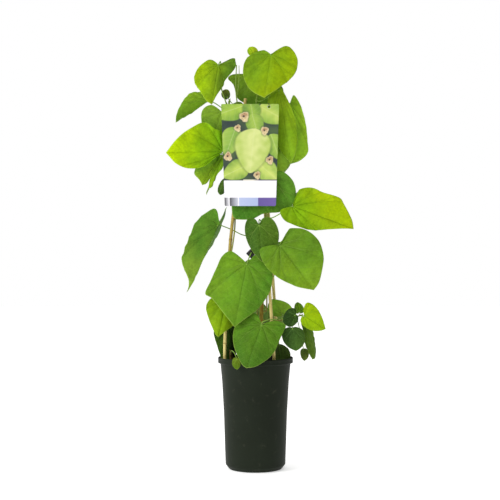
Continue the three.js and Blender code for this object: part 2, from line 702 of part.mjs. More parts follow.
    notch: [80, 306, -54], tip: [54, 292, -58], left: [66, 318, -54], right: [75, 284, -60],
    lobes: [0.2, 0.2], cup: -3, droop: -1, wave: 2, waves: 4, phase: 0.3,
  },
  {
    name: 'leaf_ruffled', tone: 'shade', stem: 'side_shoot', bud: 87,
    notch: [88, 312, -36], tip: [84, 332, -30], left: [96, 320, -36], right: [77, 318, -30],
    lobes: [0.2, 0.2], cup: -2, droop: -1, wave: 1, waves: 3, phase: 0.1,
  },
  {
    name: 'leaf_bright_side', tone: 'bright', stem: 'side_shoot', bud: 90,
    notch: [98, 304, -60], tip: [140, 278, -70], left: [103, 279, -64], right: [115, 327, -60],
    lobes: [0.12, 0.1], cup: -3, droop: -3, wave: 1, waves: 3, phase: 0.4,
  },
  {
    name: 'leaf_round_low', tone: 'shade', stem: 'side_shoot', bud: 74,
    notch: [74, 280, -54], tip: [81, 234, -54], left: [53, 260, -50], right: [99, 262, -56],
    lobes: [0.1, 0.1], cup: -4, droop: -1, wave: 0.8, waves: 3, phase: 0,
  },
  {
    name: 'leaf_narrow_hanging', tone: 'shade', stem: 'side_shoot', bud: 91,
    notch: [97, 292, -34], tip: [114, 217, -28], left: [97, 274, -42], right: [116, 274, -14],
    cup: -3, droop: -2, wave: 1, waves: 3, phase: 0.6,
    margins: [
      [[-0.07, 0.64], [0.07, 1.06], [0.28, 1.06], [0.43, 0.99], [0.59, 0.94], [0.72, 0.9], [0.91, 0.59]],
      [[-0.09, 0.52], [0.05, 0.94], [0.24, 1.06], [0.38, 1.11], [0.54, 1.14], [0.71, 1.02], [0.95, 0.51]],
    ],
  },
  {
    name: 'leaf_small_hanging', tone: 'shade', stem: 'side_shoot', bud: 79,
    notch: [96, 238, -24], tip: [98, 214, -26], left: [90, 228, -26], right: [107, 229, -22],
    lobes: [0.1, 0.1], cup: -1, droop: -1, wave: 0.5, waves: 2, phase: 0,
    via: [[84, 296, -24], [90, 270, -20], [94, 248, -21]],
  },
  {
    name: 'leaf_hanging_left', tone: 'mid', stem: 'stem_back', bud: 458,
    notch: [-75, 486, -14], tip: [-134, 350, -30], left: [-139, 444, -34], right: [-82, 450, 22],
    cup: -5, droop: -8, wave: 4, waves: 4, phase: 0.3,
    via: [[-8, 462, 16], [-28, 467, 8], [-44, 475, 2], [-58, 481, -4]],
    margins: [
      [[-0.27, 0.47], [-0.2, 0.74], [-0.05, 0.95], [0.12, 1.01], [0.31, 0.97], [0.53, 0.73], [0.83, 0.11]],
      [[-0.2, 0.3], [-0.27, 0.7], [-0.05, 0.95], [0.2, 1], [0.42, 0.85], [0.6, 0.35], [0.76, 0.06]],
    ],
  },
  {
    name: 'leaf_back_top', tone: 'mid', stem: 'stem_back', bud: 690,
    notch: [-20, 716, 36], tip: [-34, 636, 56], left: [16, 690, 44], right: [-60, 696, 28],
    lobes: [0.16, 0.2], cup: -4, droop: -4, wave: 2, waves: 3, phase: 0.1,
  },
  {
    name: 'leaf_back_left', tone: 'deep', stem: 'stem_left', bud: 604,
    notch: [-30, 628, 20], tip: [-56, 548, 36], left: [8, 600, 28], right: [-56, 604, 20],
    lobes: [0.2, 0.16], cup: -4, droop: -6, wave: 2, waves: 3, phase: 0.7,
  },
  {
    name: 'leaf_back_right', tone: 'mid', stem: 'stem_back', bud: 640,
    notch: [28, 664, 46], tip: [52, 586, 76], left: [74, 644, 52], right: [4, 634, 64],
    lobes: [0.18, 0.18], cup: -5, droop: -5, wave: 2.5, waves: 3, phase: 0.4,
  },
  {
    name: 'leaf_back_middle', tone: 'deep', stem: 'stem_back', bud: 560,
    notch: [12, 570, 52], tip: [4, 506, 66], left: [48, 550, 52], right: [-26, 546, 56],
    lobes: [0.2, 0.2], cup: -4, droop: -4, wave: 2, waves: 3, phase: 0,
  },
  {
    name: 'leaf_back_far_right', tone: 'mid', stem: 'stem_back', bud: 520,
    notch: [84, 524, 6], tip: [152, 488, 30], left: [112, 546, 12], right: [96, 488, 18],
    lobes: [0.16, 0.16], cup: -4, droop: -6, wave: 2, waves: 3, phase: 0.5,
  },
  {
    name: 'leaf_back_heart', tone: 'deep', stem: 'stem_back', bud: 440,
    notch: [62, 444, 40], tip: [84, 366, 66], left: [112, 424, 42], right: [30, 406, 50],
    lobes: [0.2, 0.18], cup: -5, droop: -6, wave: 2, waves: 3, phase: 0.2,
  },
  {
    name: 'leaf_back_centre', tone: 'mid', stem: 'stem_left', bud: 422,
    notch: [-30, 404, 18], tip: [-54, 312, 44], left: [14, 376, 34], right: [-76, 376, 16],
    lobes: [0.16, 0.2], cup: -4, droop: -6, wave: 2.5, waves: 3, phase: 0.6,
  },
  {
    name: 'leaf_back_low_left', tone: 'shade', stem: 'old_wood', bud: 276,
    notch: [-14, 290, 29], tip: [-34, 228, 43], left: [20, 270, 37], right: [-52, 270, 28],
    lobes: [0.16, 0.16], cup: -4, droop: -2, wave: 1.5, waves: 3, phase: 0.3,
  },
  {
    name: 'leaf_back_low_right', tone: 'deep', stem: 'old_wood', bud: 306,
    notch: [24, 318, 44], tip: [30, 244, 68], left: [62, 296, 46], right: [-6, 294, 52],
    lobes: [0.2, 0.2], cup: -4, droop: -6, wave: 2, waves: 3, phase: 0.8,
  },
];

// Printed card, a taper that leans back at the bottom, and the wire tie that it hangs on
const cardCorners = {
  topLeft: seen([-68.8, 728, -30]),
  topRight: seen([47.2, 728, -30]),
  bottomRight: seen([40.8, 524, -54]),
  bottomLeft: seen([-61.4, 524, -54]),
};
const cardHole = { inset: 20, drop: 6, radius: 3 };

function cardSolid() {
  const { topLeft, topRight, bottomRight, bottomLeft } = cardCorners;
  const up = topLeft.clone().sub(bottomLeft).setX(0);
  const tall = up.length();
  const outline = new THREE.Shape([
    new THREE.Vector2(bottomLeft.x, 0),
    new THREE.Vector2(bottomRight.x, 0),
    new THREE.Vector2(topRight.x, tall),
    new THREE.Vector2(topLeft.x, tall),
  ]);
  const hole = new THREE.Path();
  hole.absarc(topRight.x - cardHole.inset, tall - cardHole.drop, cardHole.radius, 0, 2 * Math.PI, true);
  outline.holes.push(hole);
  const flat = new THREE.ExtrudeGeometry(outline, {
    depth: cardThickness,
    bevelEnabled: false,
    curveSegments: 12,
  });
  flat.translate(0, 0, -cardThickness / 2);
  flat.rotateX(Math.atan2(up.z, up.y));
  flat.translate(0, bottomLeft.y, bottomLeft.z);
  return flat;
}

// The tie runs from one cane through the hole, back over the card's top edge and on to the cane
function cardTie() {
  const { topRight, bottomRight } = cardCorners;
  const up = topRight.clone().sub(bottomRight).setX(0).normalize();
  const hole = topRight.clone().addScaledVector(up, -cardHole.drop);
  hole.x -= cardHole.inset;
  const seat = 0.85 * cardHole.radius - cardTieRadius - clearance;
  const overEdge = cardHole.drop + cardTieRadius + 1.5 * clearance;
  const outside = cardThickness / 2 + cardTieRadius + 1.5 * clearance;
  const cane = pointAtHeight(canePaths.cane_back, hole.z + 2);
  const hug = caneRadius + cardTieRadius + 1.3 * clearance;
  const face = new THREE.Vector3(0, up.z, -up.y);
  const byHole = (across, rise, behind) => hole.clone()
    .add(new THREE.Vector3(across, 0, 0))
    .addScaledVector(up, rise)
    .addScaledVector(face, behind);
  const byCane = (x, y, z) => cane.clone().add(new THREE.Vector3(x * hug, y * hug, z));
  return tube(curveThrough([
    byCane(0.75, 0.75, 1),
    byCane(-0.1, 1.06, 1),
    byCane(-0.9, 0.55, 0.6),
    byCane(-0.9, -0.55, 0.3),
    byCane(-0.5, -2.2, 0),
    byHole(-4, seat, 10),
    byHole(-0.4, seat, 2.5),
    byHole(0, seat, 0),
    byHole(0, seat, -outside),
    byHole(0, overEdge - 0.8, -outside),
    byHole(0, overEdge, 0),
    byHole(-3, overEdge, 7),
    byCane(1.5, -0.6, 4),
  ]), cardTieRadius, 5, 46);
}

// Small square clip that holds the stalk of the middle leaf
function clipSolid(leaf) {
  const stalk = stalkTube(stalkCurve(leaf, leafFrame(leaf)), stalkRadius.large + 1.3 * clearance);
  const side = 14;
  const deep = 4;
  const outline = new THREE.Shape();
  outline.moveTo(-side / 2, -side / 2);
  outline.lineTo(side / 2, -side / 2);
  outline.lineTo(side / 2, side / 2);
  outline.lineTo(-side / 2, side / 2);
  const plate = new THREE.ExtrudeGeometry(outline, { depth: deep, bevelEnabled: false });
  plate.rotateZ(Math.PI / 4);
  plate.rotateX(Math.PI / 2);
  const spot = seen([-9, 429, -37.5]);
  plate.translate(spot.x, spot.y, spot.z);
  return closedSolid(plate).subtract(closedSolid(stalk));
}

// The scene graph
const model = new THREE.Group();

function place(name, geometry, material) {
  const mesh = new THREE.Mesh(geometry, material);
  mesh.name = name;
  model.add(mesh);
}

place('pot', geometryOf(potSolid()), potPlastic);

place('soil', geometryOf(soilSolid()), peat);
for (const [name, path] of Object.entries(canePaths)) {
  place(name, caneGeometry(path, caneRadius, firstKnuckles[name]), bamboo);
}
place('old_wood', tube(woodPath, woodRadius, 8, 8), bark);
place('pruned_stub', tube(stubPath, stubRadius, 7, 4), bark);

for (const [name, stem] of Object.entries(stems)) {
  place(name, tube(stem.path, stemRadius, 6, stem.steps), greenStem);
}

for (const leaf of leafRows) {
  place(leaf.name, geometryOf(leafSolid(leaf)), leafTone[leaf.tone]);
}

const centreLeaf = leafRows.find((leaf) => leaf.name === 'leaf_centre');
place('stalk_clip', geometryOf(clipSolid(centreLeaf)), clipPlastic);
place('label_card', cardSolid(), card);
place('label_tie', cardTie(), tieWire);

export default model;
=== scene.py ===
import math
import random

import bpy
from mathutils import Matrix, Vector, noise


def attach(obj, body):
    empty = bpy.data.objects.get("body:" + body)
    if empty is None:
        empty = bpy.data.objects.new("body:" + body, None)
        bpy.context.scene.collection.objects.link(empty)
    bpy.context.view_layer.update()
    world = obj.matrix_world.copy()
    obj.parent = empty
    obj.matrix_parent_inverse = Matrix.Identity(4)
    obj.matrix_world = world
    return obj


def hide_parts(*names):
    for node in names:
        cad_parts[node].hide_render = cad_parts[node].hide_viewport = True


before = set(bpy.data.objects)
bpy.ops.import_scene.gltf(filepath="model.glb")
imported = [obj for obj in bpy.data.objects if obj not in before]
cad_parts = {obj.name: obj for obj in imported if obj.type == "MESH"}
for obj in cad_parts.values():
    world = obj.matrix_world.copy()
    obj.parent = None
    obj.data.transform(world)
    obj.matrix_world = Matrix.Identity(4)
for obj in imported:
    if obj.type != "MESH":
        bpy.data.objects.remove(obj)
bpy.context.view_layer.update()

scene = bpy.context.scene
mm = 0.001
random.seed(7)

# The eye that the photograph was taken from, level with the middle of the plant (mm)
eye = {"distance": 2400, "height": 436}

# Sizes of the plant's parts (mm). What stands above the rim is placed as that eye sees it
potWall = 1.6
soilLevel = 206
caneRadius = 3.2
knuckleSwell = 1.14
stemRadius = 1.6
woodRadius = 4
stubRadius = 2.8
clearance = 0.35


def seen(across, up, depth):
    spread = 1 + depth / eye["distance"]
    return Vector((across * spread, depth, eye["height"] + (up - eye["height"]) * spread))


def seenAll(places):
    return [seen(*place) for place in places]


def linear(hexColour):
    channels = []
    for i in (1, 3, 5):
        value = int(hexColour[i:i + 2], 16) / 255
        channels.append(value / 12.92 if value <= 0.04045 else ((value + 0.055) / 1.055) ** 2.4)
    return (*channels, 1)


def asPaint(paint):  # a hex colour becomes numbers, anything else stays
    return linear(paint) if isinstance(paint, str) else paint


def mixedPaint(first, second, share):
    return [a + (b - a) * share for a, b in zip(asPaint(first), asPaint(second))]


def smoothStep(low, high, value):
    share = min(max((value - low) / (high - low), 0), 1)
    return share * share * (3 - 2 * share)


def bell(offset, width):
    return math.exp(-(offset / width) ** 2)


# Smooth paths through given points
class Path:
    def __init__(self, points):
        self.points = [Vector(p) for p in points]

    def point(self, share):
        last = len(self.points) - 1
        place = min(max(share, 0), 1) * last
        i = min(int(place), last - 1)
        weight = place - i
        p1 = self.points[i]
        p2 = self.points[i + 1]
        p0 = self.points[i - 1] if i > 0 else 2 * p1 - p2
        p3 = self.points[i + 2] if i + 2 <= last else 2 * p2 - p1
        d1 = math.sqrt((p2 - p1).length) or 1
        d0 = math.sqrt((p1 - p0).length) or d1
        d2 = math.sqrt((p3 - p2).length) or d1
        start = ((p1 - p0) / d0 - (p2 - p0) / (d0 + d1) + (p2 - p1) / d1) * d1
        end = ((p2 - p1) / d1 - (p3 - p1) / (d1 + d2) + (p3 - p2) / d2) * d1
        square = -3 * p1 + 3 * p2 - 2 * start - end
        cube = 2 * p1 - 2 * p2 + start + end
        return p1 + start * weight + square * weight ** 2 + cube * weight ** 3

    def tangent(self, share):
        return (self.point(min(share + 0.0001, 1)) - self.point(max(share - 0.0001, 0))).normalized()

    def atHeight(self, height):
        low, high = 0, 1
        for _ in range(20):
            middle = (low + high) / 2
            if self.point(middle).z < height:
                low = middle
            else:
                high = middle
        return self.point((low + high) / 2)


# Small workshop helpers
def justThis(piece):
    bpy.ops.object.select_all(action="DESELECT")
    piece.select_set(True)
    bpy.context.view_layer.objects.active = piece


def editAll():
    bpy.ops.object.mode_set(mode="EDIT")
    bpy.ops.mesh.select_all(action="SELECT")


def editFaces(piece, wanted):  # opens the mesh with only the wanted faces selected
    justThis(piece)
    bpy.ops.object.mode_set(mode="EDIT")
    bpy.ops.mesh.select_mode(type="FACE")
    bpy.ops.mesh.select_all(action="DESELECT")
    bpy.ops.object.mode_set(mode="OBJECT")
    for face in piece.data.polygons:
        face.select = wanted(face)
    bpy.ops.object.mode_set(mode="EDIT")


def editDone():
    bpy.ops.object.mode_set(mode="OBJECT")


def flipFaces():
    editAll()
    bpy.ops.mesh.flip_normals()
    editDone()


def finishWith(piece, kind, **settings):
    justThis(piece)
    modifier = piece.modifiers.new(kind.title(), kind)
    for name, value in settings.items():
        setattr(modifier, name, value)
    bpy.ops.object.modifier_apply(modifier=modifier.name)


def cutWith(piece, cutter):
    finishWith(piece, "BOOLEAN", object=cutter, operation="DIFFERENCE", solver="EXACT")
    bpy.data.objects.remove(cutter)


def settle(piece):  # its place goes into its mesh
    justThis(piece)
    bpy.ops.object.transform_apply(location=True, rotation=True, scale=True)


def smoothUpTo(piece, degrees):
    justThis(piece)
    bpy.ops.object.shade_smooth_by_angle(angle=math.radians(degrees))


def joined(first, others):
    bpy.ops.object.select_all(action="DESELECT")
    for piece in [first, *others]:
        piece.select_set(True)
    bpy.context.view_layer.objects.active = first
    bpy.ops.object.join()
    return first


def standsFor(piece, node):
    piece.name = node + "_look"
    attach(piece, "root")
    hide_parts(node)


def turnedPiece(rings, sides):  # a disc whose face is extruded and scaled from ring to ring (mm)
    bpy.ops.object.select_all(action="DESELECT")
    radius, height = rings[0]
    bpy.ops.mesh.primitive_circle_add(
        vertices=sides, radius=radius * mm, fill_type="NGON", location=(0, 0, height * mm))
    piece = bpy.context.object
    editAll()
    for nextRadius, nextHeight in rings[1:]:
        rise = (0, 0, (nextHeight - height) * mm)
        bpy.ops.mesh.extrude_region_move(TRANSFORM_OT_translate={"value": rise})
        grow = nextRadius / radius
        bpy.ops.transform.resize(value=(grow, grow, 1), center_override=(0, 0, nextHeight * mm))
        radius, height = nextRadius, nextHeight
    bpy.ops.mesh.select_all(action="SELECT")
    bpy.ops.mesh.normals_make_consistent(inside=False)
    editDone()
    settle(piece)
    return piece


def tubes(runs, roundness):  # runs of (points in mm, radii in mm), all in one mesh
    bpy.ops.object.select_all(action="DESELECT")
    bpy.ops.curve.primitive_nurbs_path_add()
    piece = bpy.context.object
    curve = piece.data
    curve.splines.clear()
    for points, radii in runs:
        spline = curve.splines.new("POLY")
        spline.points.add(len(points) - 1)
        for place, point, radius in zip(spline.points, points, radii):
            place.co = (*(point * mm), 1)
            place.radius = radius
    curve.bevel_depth = mm
    curve.bevel_resolution = roundness
    curve.use_fill_caps = True
    bpy.ops.object.convert(target="MESH")
    editAll()
    bpy.ops.mesh.remove_doubles(threshold=0.01 * mm)
    bpy.ops.mesh.normals_make_consistent(inside=False)
    editDone()
    bpy.ops.object.shade_smooth()
    return piece


# Node helpers
def feed(tree, node, inputs):  # each input gets its link or its own value
    for name, value in inputs.items():
        if isinstance(value, bpy.types.NodeSocket):
            tree.links.new(value, node.inputs[name])
        else:
            node.inputs[name].default_value = value


def addNode(tree, kind, settings=None, inputs=None):
    node = tree.nodes.new("ShaderNode" + kind)
    for name, value in (settings or {}).items():
        setattr(node, name, value)
    feed(tree, node, inputs or {})
    return node


def calc(tree, operation, *values):
    return addNode(tree, "Math", {"operation": operation}, dict(enumerate(values))).outputs[0]


def ramp(tree, value, low, high, toLow=0, toHigh=1):  # a soft step between two limits
    node = addNode(tree, "MapRange", {"interpolation_type": "SMOOTHSTEP"}, {
        "Value": value, "From Min": low, "From Max": high, "To Min": toLow, "To Max": toHigh})
    return node.outputs[0]


def blendColour(tree, amount, first, second):
    inputs = {0: amount, 6: asPaint(first), 7: asPaint(second)}
    return addNode(tree, "Mix", {"data_type": "RGBA"}, inputs).outputs[2]


def tint(tree, colour, paint, where, strength):
    return blendColour(tree, calc(tree, "MULTIPLY", where, strength), colour, paint)


def objectPattern(tree, stretch=(1, 1, 1)):
    place = addNode(tree, "TexCoord").outputs["Object"]
    return addNode(tree, "Mapping", None, {"Vector": place, "Scale": stretch}).outputs[0]


def partsOf(tree, vector):
    return addNode(tree, "SeparateXYZ", None, {0: vector}).outputs


def attribute(tree, name, kind):
    return addNode(tree, "Attribute", {"attribute_name": name}).outputs[kind]


def noiseIn(tree, place, scale, detail=4, roughness=0.55):
    node = addNode(tree, "TexNoise", None, {
        "Vector": place, "Scale": scale, "Detail": detail, "Roughness": roughness})
    return node.outputs[0]


def startMaterial(name):
    material = bpy.data.materials.new(name)
    material.use_nodes = True
    tree = material.node_tree
    return material, tree, tree.nodes["Principled BSDF"]


def dress(tree, shader, colour, roughness, specular):
    feed(tree, shader, {"Base Color": colour, "Roughness": roughness, "Specular IOR Level": specular})


def addBump(tree, shader, height, strength, reach):  # reach in mm
    inputs = {"Height": height, "Strength": strength, "Distance": reach * mm}
    tree.links.new(addNode(tree, "Bump", None, inputs).outputs[0], shader.inputs["Normal"])


# Camera, floor and light (the studio in metres)
view = {"focal": 86.4, "sensor": 36, "shift": -0.011, "farthest": 50}
studio = {
    # strength of the sky's light from the front, what comes on top from above and from behind,
    # and what the right side loses
    "sky": {"front": 0.42, "above": 0.45, "behind": 0.3, "rightLoss": 0.42},
    "floor": {"radius": 7, "drop": 0.0002, "glow": 0.42, "colour": (0.93, 0.93, 0.92, 1)},
    "lamps": {
        "key": {"place": (-1.9, -1.3, 1.5), "size": 1.1, "watts": 34},
        "fill": {"place": (1.2, -1.9, 0.7), "size": 1.3, "watts": 2},
        "back": {"place": (-1.0, 1.8, 1.5), "size": 1.4, "watts": 8}},
}

bpy.ops.object.select_all(action="DESELECT")
bpy.ops.object.camera_add(
    location=(0, -eye["distance"] * mm, eye["height"] * mm), rotation=(math.pi / 2, 0, 0))
camera = bpy.context.object
camera.name = "level_eye"
camera.data.lens = view["focal"]
camera.data.sensor_width = view["sensor"]
camera.data.shift_x = view["shift"]
camera.data.clip_end = view["farthest"]
scene.camera = camera
scene.view_settings.view_transform = "Standard"

world = bpy.data.worlds.new("white_studio")
world.use_nodes = True
tree = world.node_tree
sky = studio["sky"]
way = partsOf(tree, addNode(tree, "TexCoord").outputs["Generated"])
light = ramp(tree, way[2], -0.2, 1, sky["front"], sky["front"] + sky["above"])
light = calc(tree, "ADD", light, ramp(tree, way[1], -0.2, 0.9, 0, sky["behind"]))
light = calc(tree, "SUBTRACT", light, ramp(tree, way[0], 0, 0.9, 0, sky["rightLoss"]))
looking = addNode(tree, "LightPath").outputs["Is Camera Ray"]
feed(tree, tree.nodes["Background"], {
    "Strength": calc(tree, "MAXIMUM", light, looking), "Color": (1, 1, 1, 1)})
scene.world = world

middle = Vector((0, 0, eye["height"] * mm))
for lampName, settings in studio["lamps"].items():
    place = Vector(settings["place"])
    bpy.ops.object.light_add(type="AREA", location=place)
    lamp = bpy.context.object
    lamp.name = lampName + "_softbox"
    lamp.rotation_euler = (middle - place).to_track_quat("-Z", "Y").to_euler()
    lamp.data.size = settings["size"]
    lamp.data.energy = settings["watts"]

bpy.ops.object.select_all(action="DESELECT")
bpy.ops.mesh.primitive_circle_add(vertices=96, radius=studio["floor"]["radius"], fill_type="NGON")
floorDisc = bpy.context.object
floorDisc.name = "studio_floor"
floorDisc.location.z = -studio["floor"]["drop"]
settle(floorDisc)
floorPaint, tree, shader = startMaterial("pale_floor")
dress(tree, shader, studio["floor"]["colour"], 0.9, 0.1)
feed(tree, shader, {"Emission Color": (1, 1, 1, 1), "Emission Strength": studio["floor"]["glow"]})
floorDisc.data.materials.append(floorPaint)
print("camera, light and floor are up")


# Pot: injection-moulded nursery pot with a stepped rim and a chamfered foot. Rings of radius and
# height up the outside and down the inside
potLook = {
    "sides": 128,
    "outside": [
        (30, 0), (50.5, 0), (52.3, 0.15), (53, 0.7), (53.8, 1.7), (58.7, 7.6), (59.5, 8.8),
        (59.8, 10.4), (60.9, 40), (63.1, 110), (66.7, 174), (69.9, 208.4), (70.15, 209.9),
        (70.8, 210.6), (72.4, 210.9), (74.1, 211.1), (74.8, 211.6), (75, 212.5), (74.75, 215.4),
        (74.75, 218.4), (75, 219.2), (74.95, 220.7), (74.6, 221.6), (74.1, 222)],
    "inside": [
        (73.8, 221.9), (73.45, 221.3), (73.4, 220.4), (73.4, 213.4), (73, 212.8), (71.6, 212.5),
        (69.2, 212.2), (68.6, 211.7), (68.5, 210.6), (65.1, 174), (61.5, 110), (59.3, 40),
        (58, 9), (52.2, 2.6), (51, 2), (20, 2)],
    "drains": {"count": 5, "ring": 40, "radius": 4, "drill": 20},
    "plastic": {"dark": "#161b12", "light": "#232a1f", "dust": "#7c7868", "gloss": 0.48},
}


def potPlastic():
    material, tree, shader = startMaterial("pot_plastic_moulded")
    settings = potLook["plastic"]
    place = objectPattern(tree)
    cloudy = noiseIn(tree, place, 9, 5)
    grain = noiseIn(tree, place, 900, 3, 0.6)
    flow = noiseIn(tree, objectPattern(tree, (40, 40, 3)), 1, 4)
    dust = ramp(tree, noiseIn(tree, place, 60, 6, 0.7), 0.56, 0.78)
    colour = blendColour(tree, cloudy, settings["dark"], settings["light"])
    colour = tint(tree, colour, settings["dust"], dust, 0.12)
    rough = calc(tree, "ADD", calc(tree, "MULTIPLY", dust, 0.2), settings["gloss"])
    rough = calc(tree, "ADD", rough, calc(tree, "MULTIPLY", flow, 0.12))
    dress(tree, shader, colour, rough, 0.09)
    height = calc(tree, "ADD", calc(tree, "MULTIPLY", grain, 0.5), calc(tree, "MULTIPLY", flow, 1.4))
    addBump(tree, shader, height, 0.25, 0.12)
    return material


pot = turnedPiece(potLook["outside"] + potLook["inside"], potLook["sides"])
drains = potLook["drains"]
for i in range(drains["count"]):
    angle = 2 * math.pi * (i + 0.25) / drains["count"]
    ring = drains["ring"] * mm
    bpy.ops.object.select_all(action="DESELECT")
    bpy.ops.mesh.primitive_cylinder_add(
        vertices=32, radius=drains["radius"] * mm, depth=drains["drill"] * mm,
        location=(ring * math.cos(angle), ring * math.sin(angle), 0))
    cutWith(pot, bpy.context.object)
pot.data.materials.append(potPlastic())
smoothUpTo(pot, 40)
standsFor(pot, "pot")
print("pot is moulded")


# Soil: dark peat with crumbs, bark bits and grains of white perlite
soilLook = {
    "side": [(51.0, 2.4), (57.6, 9.4), (58.9, 40.3), (61.1, 110.3), (64.7, 174.3), (67.5, 202)],
    "rings": 26, "sides": 112, "lumps": 2.2, "edge": 6,
    # the mound from the middle to the shoulder: share of the shoulder's radius, rise above the level
    "mound": [(0, 5), (0.45, 3.5), (0.92, 0), (1, -4)], "innerWall": 70.1 - potWall, "bevel": 0.6,
    # crumbs, bark bits and perlite: count, smallest and largest radius, stretch
    "bits": [(150, 1.0, 3.2, 1.2), (34, 1.2, 2.25, 2.4), (60, 0.5, 1.5, 1.1)],
    "scatterRadius": 63, "dent": 0.45, "dentScale": 1.7,
    "paints": [
        ("peat_dark", "#150e09", "#4a3626", 0.95), ("bark_bits", "#3a2414", "#8a5f3a", 0.9),
        ("perlite_grain", "#b9b4a6", "#efece2", 0.85)],
}


def soilHeight(radius):
    shoulder = soilLook["innerWall"] - clearance - soilLook["bevel"]
    rings = [(share * shoulder, rise) for share, rise in soilLook["mound"]]
    for (r0, h0), (r1, h1) in zip(rings, rings[1:]):
        if radius <= r1:
            return soilLevel + h0 + (h1 - h0) * (radius - r0) / (r1 - r0)
    return soilLevel + rings[-1][1]


def peatMaterial(name, dark, light, roughness):
    material, tree, shader = startMaterial(name)
    fibre = noiseIn(tree, objectPattern(tree, (1, 1, 2.5)), 420, 6, 0.7)
    clod = noiseIn(tree, objectPattern(tree), 70, 5, 0.6)
    mixed = calc(tree, "MULTIPLY", fibre, clod)
    dress(tree, shader, blendColour(tree, ramp(tree, mixed, 0.14, 0.4), dark, light), roughness, 0.15)
    addBump(tree, shader, fibre, 0.9, 1.2)
    return material


soil = turnedPiece(soilLook["side"], soilLook["sides"])
topRadius, topHeight = soilLook["side"][-1]
editFaces(soil, lambda face: face.normal.z > 0.9 and face.center.z > 0.15)
ringRadius = topRadius
for i in range(1, soilLook["rings"] + 1):
    nextRadius = topRadius * (1 - i / (soilLook["rings"] + 1))
    bpy.ops.mesh.extrude_region_move()
    grow = nextRadius / ringRadius
    bpy.ops.transform.resize(value=(grow, grow, 1), center_override=(0, 0, topHeight * mm))
    ringRadius = nextRadius
bpy.ops.mesh.poke()
editDone()
for point in soil.data.vertices:
    radius = math.hypot(point.co.x, point.co.y) / mm
    if point.co.z > 0.2 and radius < topRadius - 0.5:
        rough = noise.noise(point.co * 130) + 0.6 * noise.noise(point.co * 330)
        rough += 0.3 * noise.noise(point.co * 800)
        edge = smoothStep(topRadius, topRadius - soilLook["edge"], radius)
        point.co.z = (soilHeight(radius) + soilLook["lumps"] * rough * edge) * mm
for paint in soilLook["paints"]:
    soil.data.materials.append(peatMaterial(*paint))
justThis(soil)
bpy.ops.object.shade_smooth()


def scattered(count, smallest, largest, stretch, materialIndex):
    bpy.ops.object.select_all(action="DESELECT")
    bpy.ops.mesh.primitive_ico_sphere_add(subdivisions=2, radius=1)
    lump = bpy.context.object
    for point in lump.data.vertices:
        dent = noise.noise(point.co * soilLook["dentScale"] + Vector((materialIndex, 3, 5)))
        point.co *= 1 + soilLook["dent"] * dent
    copies = []
    for _ in range(count):
        justThis(lump)
        bpy.ops.object.duplicate()
        piece = bpy.context.object
        size = random.uniform(smallest, largest) * mm
        angle = random.uniform(0, 2 * math.pi)
        radius = soilLook["scatterRadius"] * math.sqrt(random.random())
        piece.scale = (size * stretch, size * random.uniform(0.7, 1), size * random.uniform(0.4, 0.8))
        piece.rotation_euler = (random.uniform(-0.4, 0.4), random.uniform(-0.4, 0.4), random.uniform(0, 6.28))
        piece.location = (
            radius * math.cos(angle) * mm, radius * math.sin(angle) * mm,
            (soilHeight(radius) + random.uniform(-0.2, 1.2)) * mm)
        copies.append(piece)
    bpy.data.objects.remove(lump)
    first = joined(copies[0], copies[1:])
    settle(first)
    bpy.ops.object.shade_smooth()
    for material in soil.data.materials:
        first.data.materials.append(material)
    for face in first.data.polygons:
        face.material_index = materialIndex
    return first


joined(soil, [scattered(*bits, index) for index, bits in enumerate(soilLook["bits"])])
standsFor(soil, "soil")
print("soil is filled in")


# Bamboo canes, bowed a little, with a double ring at each knuckle and hollow cut ends
caneLook = {
    "cane_left": {
        "knuckle": 52,
        "points": [(-46, -8, 16), (-54, -10, 120), (-58.5, -12, 175)],
        "seenPoints": [(-61.5, 217, -14), (-51.8, 432, -12), (-42, 530, -10), (-20, 739, -6)]},
    "cane_middle": {
        "knuckle": 74,
        "points": [(34, -36, 16), (38, -42, 120)],
        "seenPoints": [(37, 217, -44), (28, 360, -36), (19, 520, -27), (7.6, 726, -15.5)]},
    "cane_back": {
        "knuckle": 30,
        "points": [(38, 30, 16), (44, 34, 120)],
        "seenPoints": [(46, 217, 34), (37, 345, 27), (25, 518, 19), (10.6, 726, 8.4)]},
}
canePaths = {name: Path(cane["points"] + seenAll(cane["seenPoints"])) for name, cane in caneLook.items()}
knuckleLook = {
    "spacing": 88, "longerBy": 6, "belowTop": 20, "reach": 9, "dark": 0.75,
    "steps": (-7, -4.5, -2.8, -1.4, -0.4, 0.2, 0.6, 1.1, 1.7, 2.2, 2.9, 4.4, 7)}
caneCut = {"wall": 1.1, "hollow": 6}


